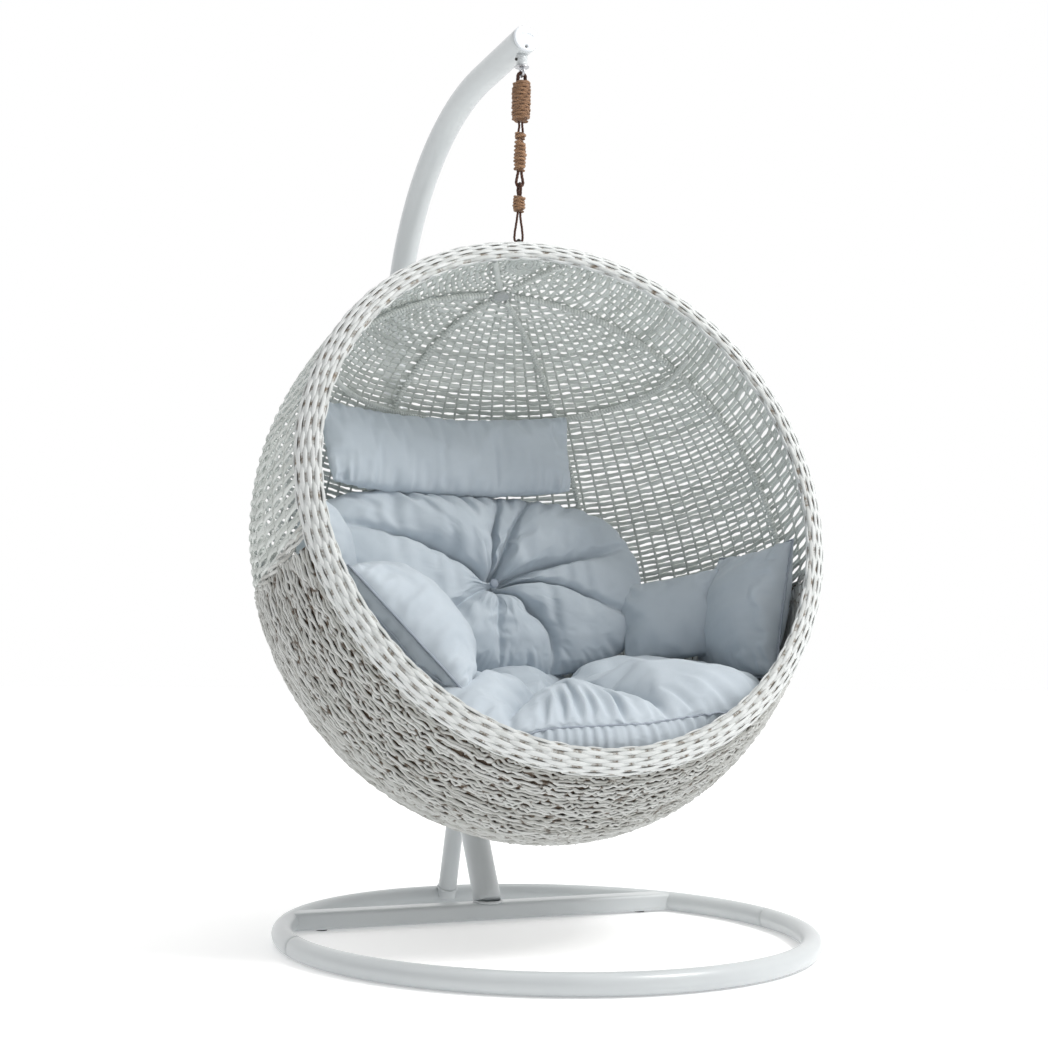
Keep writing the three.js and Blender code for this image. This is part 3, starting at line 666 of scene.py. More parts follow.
def build_swivel():
    collar = [
        (5.4, 1892.8), (10.6, 1892.8), (12, 1894), (12, 1899), (11.2, 1900), (12, 1901), (12, 1925),
        (5.4, 1925),
    ]
    collar = turned("collar_turned", collar, WHITE_PAINT, segments=64)
    place(collar, "stand", "white_paint", "swivel_collar")

    plate = [
        (0, 1889.5), (15.6, 1889.5), (16.5, 1890.3), (16.5, 1891.7), (15.6, 1892.5), (5, 1892.5),
        (5, 1934.2), (4.2, 1935), (0, 1935),
    ]
    spindle = turned("swivel_flange_pin", plate, ZINC, segments=64)
    place(spindle, "swivel", "zinc_steel", "swivel_spindle")
    place(eye_ring("swivel_eye_ring", 1879, ZINC), "swivel", "zinc_steel")

    hexagon = []
    for z, r in ((1925.4, 8.2), (1926.2, 9.0), (1931.4, 9.0), (1932.2, 8.2)):
        for i in range(6):
            angle = math.pi / 3 * i
            hexagon.append((r * math.cos(angle), r * math.sin(angle), z))
    quads = tube_quads(4, 6).tolist()
    quads += [[18, 19, 20, 21], [18, 21, 22, 23], [3, 2, 1, 0], [5, 4, 3, 0]]
    nut = mesh_object("pin_nut_hex", np.array(hexagon) / 1000, quads, ZINC)
    nut.data.polygons.foreach_set("use_smooth", np.zeros(len(nut.data.polygons), bool))
    place(nut, "swivel", "zinc_steel", "swivel_nut")

    place(eye_ring("basket_eye_ring", 1492, DARK_STEEL), "basket", "dark_steel")
    foot = [
        (0, 1437), (3.5, 1437), (3.5, 1453), (14, 1453), (15, 1454), (15, 1455.4), (13.8, 1456.4),
        (5, 1458), (3.6, 1460), (3.6, 1482.5), (0, 1482.5),
    ]
    stem = turned("basket_eye_stem", foot, DARK_STEEL, segments=48)
    place(stem, "basket", "dark_steel", "basket_eye")


# ---------------------------------------------------------------- weave

# How far each layer of the weave lies inside the egg form, and the dome's mean radius.
DOME_INSET, SEAM_INSET, OUTER_INSET, BACKING_INSET, INNER_INSET = 6, 5, 4.0, 8.2, 11.5
DOME_RADIUS, DOME_PITCH = 560, 12.6


def egg(direction, inset=0.0):
    """Points of the egg form and its outward normals, for unit directions and an inset."""
    x, y, z = np.moveaxis(np.asarray(direction, float), -1, 0)
    depth = np.where(y > 0, EGG_BACK, EGG_FRONT) - inset
    py = y * depth
    forward = np.clip(-py, 0, RIM_DEPTH) / RIM_DEPTH
    tall = EGG_TALL - RIM_NARROWING * forward**2 - inset
    side = EGG_SIDE - inset
    points = np.stack([x * side, py, z * tall + RIM_LIFT * forward**2], -1)
    normals = unit(np.stack([x / side, y / depth, z / tall], -1))
    return points, normals


def level_direction(around, height):
    """A direction by its angle round Z, from the back, and its height, as on a globe."""
    around, height = np.broadcast_arrays(np.asarray(around, float), np.asarray(height, float))
    return np.stack([np.sin(around) * np.cos(height), np.cos(around) * np.cos(height), np.sin(height)], -1)


def bowl_direction(theta, polar):
    """A direction by its angle round the front-to-back axis and its angle from the back."""
    theta, polar = np.broadcast_arrays(np.asarray(theta, float), np.asarray(polar, float))
    return np.stack([np.sin(polar) * np.cos(theta), np.cos(polar), np.sin(polar) * np.sin(theta)], -1)


def dome_direction(around, height):
    """A direction in the dome's own grid, whose pole lies a little ahead of upright."""
    x, y, z = np.moveaxis(level_direction(around, height), -1, 0)
    lean = math.radians(10) * smoothstep(np.asarray(height, float) / (math.pi / 2))
    return np.stack([x, y * np.cos(lean) - z * np.sin(lean), y * np.sin(lean) + z * np.cos(lean)], -1)


def runs(keep):
    """Each unbroken run of kept points that is long enough for a strand, as a slice."""
    edges = np.flatnonzero(np.diff(np.concatenate([[0], keep.astype(int), [0]])))
    return [slice(a, b) for a, b in zip(edges[::2], edges[1::2]) if b - a >= SHORTEST_RUN]


def stakes_at(height):
    return 90 if height < math.radians(68) else 45 if height < math.radians(81) else 22


def build_dome():
    heights = np.linspace(math.radians(-8.7), math.radians(89.4), 1200)
    s = arc_length(egg(dome_direction(math.pi / 2, heights), DOME_INSET)[0])
    rows = np.interp(np.arange(0, s[-1], DOME_PITCH), s, heights)
    fronts, stakes = Strips(), Strips()
    for number, height in enumerate(rows):
        girth = 2 * math.pi * DOME_RADIUS * max(math.cos(height), 0.03)
        count = stakes_at(height)
        steps = max(40, int(girth / 8.5))
        around = np.linspace(-math.pi, math.pi, steps, endpoint=False)
        jitter = 1.1 * wave_noise(around, 100 + number, 0.5) + 0.8 * wave_noise(around, number, 0.12)
        points, normals = egg(dome_direction(around, height + jitter / 600), DOME_INSET)
        phase = around * count / 2 + math.pi * number
        crest = np.cos(phase)
        offset = 3.3 * np.sign(crest) * np.abs(crest) ** 0.8
        points = points + normals * offset[:, None]
        keep = points[:, 1] > WEAVE_FRONT
        tone = rng.uniform(0.2, 0.9)
        wide = rng.uniform(4.5, 5.6) + 0.45 * wave_noise(around, 300 + number, 0.3)
        for run in runs(keep):
            fronts.sweep(points[run], normals[run], wide[run], 1.9, closed=bool(keep.all()), tone=tone)

    for index in range(90):
        around = -math.pi + (index + 0.5) * 2 * math.pi / 90
        top = math.radians(69 if index % 2 else 82 if index % 4 else 88.5)
        line = np.linspace(math.radians(-9.2), top, 100)
        points, normals = egg(dome_direction(around, line), DOME_INSET)
        for run in runs(points[:, 1] > WEAVE_FRONT):
            stakes.sweep(points[run], normals[run], 3.1, 2.3, tone=rng.uniform(0.05, 0.4))

    # A close spiral fills the weave's pole, under the hanging eye.
    turns = np.linspace(0.6, 5.2, 260)
    spiral = dome_direction(turns * 2 * math.pi, math.pi / 2 - turns * 7.2 / 600)
    points, normals = egg(spiral, DOME_INSET + 2)
    fronts.sweep(points, normals, 4.0, 2.0, tone=0.4)
    for name, strip in (("dome_rows", fronts), ("dome_stakes", stakes)):
        obj = strip.make(name, DOME_WICKER, BASKET)
        place(obj, "basket", "pale_wicker", *(["dome_weave"] if strip is fronts else []))


def wrap_round(strip, direction, inset):
    """Wicker wound round a rib or a hoop that follows the egg's inside."""
    radius, cord, pitch = 4.9, 3.4, 7.2
    path, normals = egg(direction, inset)
    s = arc_length(path)
    at = np.linspace(0, s[-1], int(s[-1] / pitch * 10))
    centre = np.stack([np.interp(at, s, path[:, i]) for i in range(3)], -1)
    up = unit(np.stack([np.interp(at, s, normals[:, i]) for i in range(3)], -1))
    tangents = unit(np.gradient(centre, axis=0))
    across = np.cross(tangents, up)
    angle = 2 * math.pi * at / pitch
    out = np.cos(angle)[:, None] * up + np.sin(angle)[:, None] * across
    strip.sweep(centre + out * radius, out, cord, cord * 0.55, tone=0.6)


def build_frame_wraps():
    """The steel frame inside the dome, wound with wicker."""
    strip = Strips()
    ribs = ((-27, -4), (33, -4), (-87, -4), (93, -4), (-147, 74), (153, 75))
    for around, lowest in ribs:
        line = np.radians(np.linspace(87, lowest, 90))
        wrap_round(strip, level_direction(math.radians(around), line), RIB_INSET)
    for height, reach in ((46, 102), (-4.2, 96)):
        around = np.radians(np.linspace(-reach, reach, 160))
        wrap_round(strip, level_direction(around, math.radians(height)), RIB_INSET + 10)
    place(strip.make("frame_windings", DOME_WICKER, BASKET), "basket", "pale_wicker")


def bowl_rows(strip, inset, pitch, step, wide, thick, seed, sides=6, every=(0, 1)):
    """Coarse wavy strands parallel to the rim, below the seam.

    every is (which, of how many): one mesh holds only some of the rows, so that it stays small."""
    angles = np.linspace(0.02, math.radians(107), 1500)
    line = egg(bowl_direction(-math.pi / 2, angles), inset)[0]
    s = arc_length(line)
    last = np.interp(-RIM_DEPTH - 4, line[::-1, 1], s[::-1])
    for number, at in enumerate(np.arange(60, last, pitch)):
        if number % every[1] != every[0]:
            continue
        polar = np.interp(at, s, angles)
        radius = 620 * math.sin(polar)
        steps = max(24, int(math.pi * radius / step))
        theta = np.linspace(math.pi * 1.005, math.pi * 1.995, steps)
        length = (theta - math.pi) * radius
        own = np.random.default_rng(seed + number)
        cell = 28 + 5 * wave_noise(length, seed + 7 * number, 300)
        phase = length / cell * math.pi + math.pi * number
        phase = phase + 1.7 * wave_noise(length, seed + 3 * number, 150)
        crest = np.cos(phase)
        roam = wave_noise(length, seed + 5 * number + 1, 120)
        drift = (1.5 * crest * (1 + 0.5 * roam) + 1.6 * roam) / 540
        points, normals = egg(bowl_direction(theta, polar + drift), inset)
        lift = 1.5 * np.cos(phase * 0.5 + own.uniform(0, 6.28))
        lift = lift + 1.1 * wave_noise(length, seed + 11 * number, 45)
        points = points + normals * lift[:, None]
        uneven = 0.16 * wave_noise(length, seed + 13 * number, 70)
        width = wide * (1 + uneven + 0.12 * np.cos(phase * 2))
        # Where a strand dips under its neighbour it lies deeper and takes the wicker's dark brown: painted
        # shade in the recess, partly bare fibre.
        deep = 0.42 - 0.17 * lift
        keep = points[:, 2] < SEAM_Z + 4
        turn = own.uniform(-0.5, 0.5)
        tone = own.uniform(0.15, 0.95)
        for run in runs(keep):
            strip.sweep(points[run], normals[run], width[run], thick, sides, False, tone, deep[run], turn)


def build_bowl():
    for part in (0, 1):
        outer = Strips()
        bowl_rows(outer, OUTER_INSET, 8.0, 7.2, 3.7, 2.9, 500, every=(part, 2))
        name = f"bowl_rows_outer_{part + 1}"
        place(outer.make(name, BOWL_WICKER, BASKET), "basket", "pale_wicker", "bowl_weave")
    # The rows inside the bowl take the lighter rim wicker rather than the bowl's own: painted light,
    # standing in for light bounced into the bowl.
    inner = Strips()
    bowl_rows(inner, INNER_INSET, 9.6, 12, 6.0, 2.4, 900, sides=5)
    place(inner.make("bowl_rows_inner", RIM_WICKER, BASKET), "basket", "pale_wicker")

    # Dark brown strips behind the bowl's rows: painted shade showing through the gaps, partly the bare
    # wicker's own brown.
    bare_and_shade_strips = Strips()
    line = np.linspace(0.09, math.radians(106.3), 70)
    gap = math.pi * 0.98 / 61
    width = np.maximum(3, 600 * np.sin(line) * gap * 0.56)
    for theta in np.linspace(math.pi * 1.01, math.pi * 1.99, 62):
        points, normals = egg(bowl_direction(theta, line), BACKING_INSET)
        for run in runs((points[:, 2] < SEAM_Z - 2) & (points[:, 1] > WEAVE_FRONT)):
            bare_and_shade_strips.sweep(points[run], normals[run], width[run], 1.3, tone=rng.uniform(0.2, 0.8))
    place(bare_and_shade_strips.make("bowl_bare_and_shade_strips", BARE_AND_SHADE_BACKING, BASKET), "basket", "pale_wicker")

    # A plaited course covers the seam between dome and bowl.
    seam = Strips()
    around = np.linspace(-math.radians(111), math.radians(111), 900)
    for level in (-105, -94):
        for ply in range(2):
            angle = around * DOME_RADIUS / 11 + math.pi * ply
            height = np.arcsin((level + 4.2 * np.sin(angle)) / EGG_TALL)
            points, normals = egg(level_direction(around, height), SEAM_INSET)
            points = points + normals * (3.4 * np.cos(angle))[:, None]
            for run in runs(points[:, 1] > WEAVE_FRONT):
                seam.sweep(points[run], normals[run], 3.9, 2.8, tone=0.3 + 0.4 * ply)
    place(seam.make("seam_plait", BOWL_WICKER, BASKET), "basket", "pale_wicker")


def rim_point(around, section, grow=0.0):
    """Points on the rim band's oval section, carried round the opening, with outward normals."""
    around, section = np.broadcast_arrays(np.asarray(around, float), np.asarray(section, float))
    wide, thick = RIM_HALF_WIDTH + grow, RIM_HALF_THICK + grow
    along, over = wide * np.cos(section), thick * np.sin(section)
    out = along * math.cos(RIM_SLANT) - over * math.sin(RIM_SLANT)
    ahead = along * math.sin(RIM_SLANT) + over * math.cos(RIM_SLANT)
    n_along, n_over = np.cos(section) / wide, np.sin(section) / thick
    n_out = n_along * math.cos(RIM_SLANT) - n_over * math.sin(RIM_SLANT)
    n_ahead = n_along * math.sin(RIM_SLANT) + n_over * math.cos(RIM_SLANT)
    radius = RIM_BAND_RADIUS + out
    across, up = np.sin(around), np.cos(around)
    points = np.stack([radius * across, -RIM_BAND_DEPTH - ahead, RIM_LIFT + radius * up], -1)
    return points, unit(np.stack([n_out * across, -n_ahead, n_out * up], -1))


def build_rim():
    rows = Strips()
    count, cells = 17, 92
    section_fine = np.linspace(0, 2 * math.pi, 2000)
    wide, thick = RIM_HALF_WIDTH - 3, RIM_HALF_THICK - 3
    lengths = np.hypot(np.diff(wide * np.cos(section_fine)), np.diff(thick * np.sin(section_fine)))
    s = np.concatenate([[0], np.cumsum(lengths)])
    around = np.linspace(0, 2 * math.pi, 560, endpoint=False)
    for number in range(count):
        at = s[-1] * number / count
        base = np.interp(at, s, section_fine)
        slide = 0.035 * wave_noise(around * 8, 40 + number, 3.1)
        phase = around * cells / 2 + math.pi * number + 0.25 * wave_noise(around * 20, 70 + number, 9)
        crest = np.cos(phase)
        points, normals = rim_point(around, base + slide, -3.4)
        lift = 1.9 * np.sign(crest) * np.abs(crest) ** 0.7
        points = points + normals * lift[:, None]
        width = 4.5 * (1 + 0.09 * wave_noise(around * 30, 90 + number, 6))
        # Where a strand dips under its neighbour it lies deeper and takes the wicker's dark brown: painted
        # shade in the recess, partly bare fibre.
        deep = 0.4 - 0.2 * lift
        rows.sweep(points, normals, width, 2.3, closed=True, tone=rng.uniform(0.3, 0.95), depth=deep)
    place(rows.make("rim_rows", RIM_WICKER, BASKET), "basket", "pale_wicker", "rim_band")

    core = Strips()
    for index in range(cells):
        turn = 2 * math.pi * (index + 0.5) / cells
        section = np.linspace(0, 2 * math.pi, 22, endpoint=False)
        points, normals = rim_point(turn, section, -4.6)
        core.sweep(points, normals, 3.2, 1.7, 5, closed=True, tone=rng.uniform(0.1, 0.5))
    place(core.make("rim_stakes", RIM_WICKER, BASKET), "basket", "pale_wicker")

    # The filling is set deep, so it takes the rim wicker's dark brown throughout: painted shade between the
    # rim's rows, partly bare fibre.
    filling = Strips()
    spread = np.linspace(0, 2 * math.pi, 160, endpoint=False)
    centre = rim_point(spread, 0.0, -RIM_HALF_WIDTH + 0.01)[0]
    slope, rise = math.cos(RIM_SLANT), math.sin(RIM_SLANT)
    slant_out = np.stack([np.sin(spread) * slope, 0 * spread - rise, np.cos(spread) * slope], -1)
    thin = np.cross(unit(np.roll(centre, -1, 0) - np.roll(centre, 1, 0)), slant_out)
    wide, thick = RIM_HALF_WIDTH - 7.5, RIM_HALF_THICK - 7
    filling.sweep(centre, thin, wide, thick, 16, closed=True, tone=0.2, depth=0 * spread + 0.9)
    place(filling.make("rim_filling", RIM_WICKER, BASKET), "basket", "pale_wicker")


# ---------------------------------------------------------------- cushions


SIM_FRAMES = 18


def points_of(obj):
    flat = np.zeros(len(obj.data.vertices) * 3, np.float32)
    obj.data.vertices.foreach_get("co", flat)
    return flat.reshape(-1, 3).astype(float)


def set_points(obj, points):
    obj.data.vertices.foreach_set("co", np.asarray(points, np.float32).ravel())
    obj.data.update()


def settle(obj, pressure, cap, slack, pinned):
    """Inflates a cushion's cover with a short cloth simulation and keeps the result in the mesh.

    slack is the share of spare fabric, pinned the hold of seams and tufts at each point, and cap
    the furthest that a point may move, in metres."""
    group = obj.vertex_groups.new(name="hold")
    levels = np.round(np.clip(pinned, 0, 1) * 20).astype(int)
    for level in np.unique(levels):
        if level:
            group.add(np.flatnonzero(levels == level).tolist(), level / 20, "REPLACE")
    cloth = obj.modifiers.new("cover", "CLOTH")
    cover = cloth.settings
    cover.quality = 5
    cover.mass = 0.25
    cover.tension_stiffness = 20
    cover.compression_stiffness = 20
    cover.shear_stiffness = 8
    cover.bending_stiffness = 0.25
    cover.use_pressure = True
    cover.uniform_pressure_force = pressure
    cover.shrink_min = -slack
    cover.effector_weights.gravity = 0
    cover.vertex_group_mass = "hold"
    cover.pin_stiffness = 1.2
    cloth.point_cache.frame_start = 1
    cloth.point_cache.frame_end = SIM_FRAMES
    scene = bpy.context.scene
    for number in range(1, SIM_FRAMES + 1):
        scene.frame_set(number)
    before = points_of(obj)
    move = np.nan_to_num(points_of(obj.evaluated_get(bpy.context.evaluated_depsgraph_get())) - before)
    length = np.linalg.norm(move, axis=1, keepdims=True)
    obj.modifiers.remove(cloth)
    set_points(obj, before + move * np.minimum(1, cap / np.maximum(length, 1e-9)))
    scene.frame_set(1)


def bump_at(distance, width):
    return np.exp(-((distance / width) ** 2))


def refine(obj):
    level = obj.modifiers.new("smooth", "SUBSURF")
    level.levels = level.render_levels = 1


def sheet_grid(nu, nv):
    """Indices of two grids that share their edge points: front, back and the loop round the edge."""
    front = np.arange(nu * nv).reshape(nu, nv)
    back = front.copy()
    back[1:-1, 1:-1] = nu * nv + np.arange((nu - 2) * (nv - 2)).reshape(nu - 2, nv - 2)

    def quads(grid):
        return np.stack([grid[:-1, :-1], grid[1:, :-1], grid[1:, 1:], grid[:-1, 1:]], -1).reshape(-1, 4)

    edge = np.concatenate([front[:-1, 0], front[-1, :-1], front[:0:-1, -1], front[0, :0:-1]])
    return np.vstack([quads(front), quads(back)[:, ::-1]]), edge


def pose_matrix(at, turn):
    """Where a cushion stands in the basket's space, in metres: turned about Y, Z and in its plane."""
    turn_y, turn_z, spin = (math.radians(angle) for angle in (*turn, 0)[:3])
    facing = Matrix.Rotation(turn_y, 4, "Y") @ Matrix.Rotation(turn_z, 4, "Z")
    return Matrix.Translation(Vector(at) / 1000) @ facing @ Matrix.Rotation(spin, 4, "Y")


def moved(points, matrix):
    """Points in millimetres carried by a matrix in metres."""
    matrix = np.array(matrix)
    return points @ matrix[:3, :3].T + matrix[:3, 3] * 1000


def pressed_in(points, inset=34):
    """Presses points of the basket's space that reach the wicker back to its inside."""
    x, y, z = points.T
    depth = np.where(y > 0, EGG_BACK, EGG_FRONT) - inset
    side, tall = EGG_SIDE - inset, EGG_TALL - inset
    reach = np.sqrt((x / side) ** 2 + (y / depth) ** 2 + (z / tall) ** 2)
    return points / np.maximum(reach, 1)[:, None]


# The pillows that lie on the seat: size, middle and turn about Y and Z, in the basket's space.
THROW_LEFT = ((350, 190, 356), (-288, 20, -184), (-40, -118))
THROW_RIGHT = ((304, 200, 320), (524, 28, -130), (11, -86, 12))
BOLSTER_RIGHT = ((250, 90, 210), (400, 150, -98), (0, -36))


def sunk_under(points, *pillows):
    """Lowers the top of the seat, in millimetres of the row frame, to lie under the pillows on it."""
    inside = BASKET.inverted()
    for _ in range(34):
        local = moved(points, inside)
        hit = np.zeros(len(points), bool)
        for size, at, turn in pillows:
            own = moved(local, pose_matrix(at, turn).inverted())
            a, b, c = (np.abs(own[:, i]) / (size[i] / 2 + 3) for i in range(3))
            hit |= (a**3 + b**2 + c**3 < 1) & (points[:, 2] > 425)
        points[hit, 2] -= 4
    return points


def pillow(name, size, at, turn, node, seed, cap, pinch=0.05, bow=0.0, flat=0.5, square=2.6,
           puckers=(3.2, 3.2), piping=0.0, zipped=False, taper=0.0, fill=0.6):
    """A pillow of two covers sewn at the edge: crowned, drawn in between its corners, puckered at
    its seams, with piping where radius piping is given. cap is what settle may move a point."""
    width, thick, tall = (length / 2 for length in size)
    nu, nv = max(30, int(width / 4.2)), max(24, int(tall / 4.2))
    u = np.linspace(-1, 1, nu)[:, None] + np.zeros((1, nv))
    v = np.linspace(-1, 1, nv)[None, :] + np.zeros((nu, 1))
    u, v = 0.55 * u + 0.45 * np.sin(u * math.pi / 2), 0.55 * v + 0.45 * np.sin(v * math.pi / 2)
    crown = ((1 - np.abs(u) ** square) * (1 - np.abs(v) ** square)) ** flat
    x = width * u * (1 - pinch * (1 - v**2)) * (1 - 0.03 * u**4 * v**4) * (1 + taper * v)
    z = tall * v * (1 - pinch * 1.2 * (1 - u**2)) * (1 - 0.03 * u**4 * v**4)
    edge_u, edge_v = width * (1 - np.abs(u)), tall * (1 - np.abs(v))
    sides = []
    for face in (-1, 1):
        gather = np.zeros_like(x)
        for along, distance, sign, amount in ((x, edge_v, v, puckers[0]), (z, edge_u, u, puckers[1])):
            own = seed + (3 if face > 0 else 0)
            fine = wave_noise(along, own, 34) + 0.7 * wave_noise(along + 13 * np.sign(sign), own + 1, 19)
            reach = 26 * (1 + 0.6 * wave_noise(along, own + 2, 60))
            fade = np.exp(-distance / np.maximum(reach, 9)) * (1 - np.exp(-distance / 3.5))
            gather += amount * fine * fade
        soft = 0.022 * thick * wave_noise(x * 0.9 + z * 0.5, seed + 5, 150)
        soft = soft + 0.02 * thick * wave_noise(z - 0.4 * x, seed + 6, 120)
        corner = np.zeros_like(x)
        for cx, cz in ((-1, -1), (-1, 1), (1, -1), (1, 1)):
            dx, dz = x - cx * width, z - cz * tall
            reach, angle = np.hypot(dx, dz), np.arctan2(dz * cz, dx * cx)
            fade = np.exp(-reach / 95) * (1 - np.exp(-reach / 18))
            corner += 2.6 * fade * np.sin(11 * angle + seed + cx + 2 * cz)
        height = thick * crown + gather + soft + corner * crown**0.3
        sides.append(face * np.maximum(height, 0.2 * crown) - bow * (x / width) ** 2)
    front = np.stack([x, sides[0], z], -1)
    back = np.stack([x, sides[1], z], -1)
    shift = -(bow * (x / width) ** 2)
    for ring in (0, -1):
        front[ring, :, 1], front[:, ring, 1] = shift[ring, :], shift[:, ring]
    quads, edge = sheet_grid(nu, nv)
    verts = np.vstack([front.reshape(-1, 3), back[1:-1, 1:-1].reshape(-1, 3)])
    obj = recalculate(mesh_object(name, verts / 1000, quads, CLOTH))
    hold = np.zeros(len(verts))
    hold[edge] = 0.85
    matrix = pose_matrix(at, turn)
    settle(obj, 3.0, cap, 0.05, hold)
    settled = pressed_in(moved(points_of(obj) * 1000, matrix))
    set_points(obj, settled / 1000)
    obj.data.transform(BASKET)
    obj.data.update()
    refine(obj)
    place(obj, "basket", "cushion_cloth", node)

    line = settled[edge]
    outward = unit(line - np.array(at))
    if piping:
        trim = Strips()
        trim.sweep(line + outward * piping * 0.5, outward, piping, piping, 8, closed=True)
        place(trim.make(f"{name}_piping", PIPING, BASKET), "basket", "cushion_cloth")
    if zipped:
        # A zip's two tapes lie on the under face, just behind the seam nearest the opening.
        trim = Strips()
        front = settled[: nu * nv].reshape(nu, nv, 3)
        smooth = np.ones(9) / 9
        for index in (3, 4):
            tape = np.stack([np.convolve(front[-index, :, i], smooth, "valid") for i in range(3)], -1)
            away = unit(tape - np.array(at))
            trim.sweep(tape + 2.2 * away, away, 1.7, 1.5)
        place(trim.make(f"{name}_zip", PIPING, BASKET), "basket", "cushion_cloth")


def tufted(name, outline, top, bottom, creases, dimple, pleats, lobes, matrix, node, seed, post,
           rings=44, spokes=264, ruffle=3.0, slack=0.05, cap=0.02, gusset=False):
    """A round cushion drawn in at its middle, whose creases part it into lobes.

    outline(angle, level) is its radius, top and bottom its crown and depth from the seam's plane,
    creases are (angle at the middle, angle at the edge, depth, width), pleats (angle, length,
    depth) and lobes(angle) the extra height of each lobe. A gusset is a gathered wall below the
    seam, and post is a last change to the settled points. All in millimetres and radians."""
    t = np.linspace(0, 1, rings + 1)[1:, None]
    r = np.sin(t * math.pi / 2) ** 0.92 + np.zeros((1, spokes))
    angle = np.linspace(-math.pi, math.pi, spokes, endpoint=False)[None, :] + np.zeros((rings, 1))
    reach = outline(angle, 1)
    distance_from_middle = r * reach
    groove, hold = np.zeros_like(r), np.zeros_like(r)
    for start, end, depth, width in creases:
        line = start + (end - start) * r + 0.03 * np.sin(r * 7 + start * 3)
        away = np.abs(wrapped(angle - line)) * np.maximum(distance_from_middle, 6)
        fade = smoothstep(r / 0.1) * (1 - 0.7 * smoothstep((r - 0.35) / 0.65))
        groove += depth * fade * (0.7 * bump_at(away, width) + 0.3 * bump_at(away, width * 3.6))
        hold = np.maximum(hold, 0.9 * fade * bump_at(away, width * 0.7))
    for at, length, depth in pleats:
        away = np.abs(wrapped(angle - at)) * distance_from_middle
        fade = smoothstep((r - (1 - length)) / length) * (1 - 0.55 * smoothstep((r - 0.93) / 0.07))
        groove += depth * fade * (bump_at(away, 7) - 0.45 * bump_at(away - 15, 8))
    middle = bump_at(distance_from_middle, 30)
    groove += dimple * (0.75 * middle + 0.25 * bump_at(distance_from_middle, 95))
    hold = np.maximum(hold, 0.95 * bump_at(distance_from_middle, 16))
    crown = (1 - r**3.0) ** 0.55
    edge_gap = (1 - r) * reach
    perimeter = angle * 330
    fine = wave_noise(perimeter, seed, 30) + 0.6 * wave_noise(perimeter, seed + 1, 17)
    gathers = ruffle * fine * np.exp(-edge_gap / 24) * (1 - np.exp(-edge_gap / 4))
    rays = 1.6 * np.sin(angle * 23 + 2 * np.sin(angle * 5 + seed)) * bump_at(distance_from_middle - 55, 42)
    soft = 2.4 * wave_noise(distance_from_middle * np.cos(angle), seed + 2, 140)
    soft += 2.2 * wave_noise(distance_from_middle * np.sin(angle), seed + 3, 120)
    high = (top + lobes(angle) * smoothstep(r / 0.5)) * crown - groove * crown**0.35
    high = high + gathers + rays + soft * crown
    flat = np.stack([distance_from_middle * np.cos(angle), distance_from_middle * np.sin(angle)], -1)
    if gusset:
        down, share = np.clip((1 - t) / 0.3, 0, 1) + 0 * r, np.minimum(t / 0.7, 1) + 0 * r
        folds = 2.2 * ruffle * fine * np.exp(-1.1 * down) * (1 - np.exp(-9 * down)) * share**4
        inner = share * (reach * (1 - down) + outline(angle, -1) * down)
        inner = inner + 5 * np.sin(math.pi * down) + folds
        low = -bottom * (0.86 * down + 0.14 * (1 - share**2))
    else:
        mix = smoothstep((1 - r) / 0.25)
        inner = distance_from_middle * (1 - mix) + r * outline(angle, -1) * mix
        low = -bottom * (1 - r**4) ** 0.5 - 0.6 * gathers
    under = np.stack([inner * np.cos(angle), inner * np.sin(angle)], -1)
    upper = np.concatenate([flat, np.maximum(high, -bottom * 0.5)[..., None]], -1)
    lower = np.concatenate([under, low[..., None]], -1)
    upper[-1, :, 2] = 0
    centre_high = top - dimple
    verts = np.vstack([
        [[0, 0, centre_high]], upper.reshape(-1, 3), [[0, 0, -bottom]], lower[:-1].reshape(-1, 3)
    ])
    n = rings * spokes
    base = 1 + np.arange(n).reshape(rings, spokes)
    under_base = np.vstack([(2 + n + np.arange(n - spokes)).reshape(rings - 1, spokes), base[-1:]])

    def band(grid):
        nxt = np.roll(grid, -1, 1)
        return np.stack([grid[:-1], grid[1:], nxt[1:], nxt[:-1]], -1).reshape(-1, 4)

    faces = [tuple(f) for f in band(base)] + [tuple(f[::-1]) for f in band(under_base)]
    faces += [(0, base[0, k], base[0, (k + 1) % spokes]) for k in range(spokes)]
    faces += [(1 + n, under_base[0, (k + 1) % spokes], under_base[0, k]) for k in range(spokes)]
    mesh = bpy.data.meshes.new(name)
    mesh.from_pydata((verts / 1000).tolist(), [], [tuple(int(i) for i in f) for f in faces])
    mesh.polygons.foreach_set("use_smooth", np.ones(len(mesh.polygons), bool))
    mesh.materials.append(CLOTH)
    obj = bpy.data.objects.new(name, mesh)
    bpy.context.scene.collection.objects.link(obj)
    recalculate(obj)
    pinned = np.zeros(len(verts))
    pinned[0] = 1
    pinned[1 : 1 + n] = hold.ravel()
    pinned[1 + n :] = 0.6
    pinned[base[-1]] = 0.85
    settle(obj, 3.5, cap, slack, pinned)
    set_points(obj, post(points_of(obj) * 1000) / 1000)
    edge = points_of(obj)[base[-1]] * 1000
    middle_point = points_of(obj)[0] * 1000
    obj.data.transform(matrix)
    refine(obj)
    place(obj, "basket", "cushion_cloth", node)
    trim = Strips()
    outward = unit(edge * [1, 1, 0])
    trim.sweep(edge + outward * 0.6, outward, 2.0, 2.0, 7, closed=True)
    place(trim.make(f"{name}_seam", PIPING, matrix), "basket", "cushion_cloth")
    return middle_point


def rounded_oval(left, right, tall, left_power, right_power):
    """An outline round the tuft, whose left and right ends have their own reach and squareness."""

    def radius(angle, level):
        share = smoothstep(0.5 + np.cos(angle))
        power = left_power + (right_power - left_power) * share
        width = np.where(np.cos(angle) > 0, right, left)
        shape = np.abs(np.cos(angle) / width) ** power + np.abs(np.sin(angle) / tall) ** power
        return (1.0 if level > 0 else 0.94) / shape ** (1 / power)

    return radius


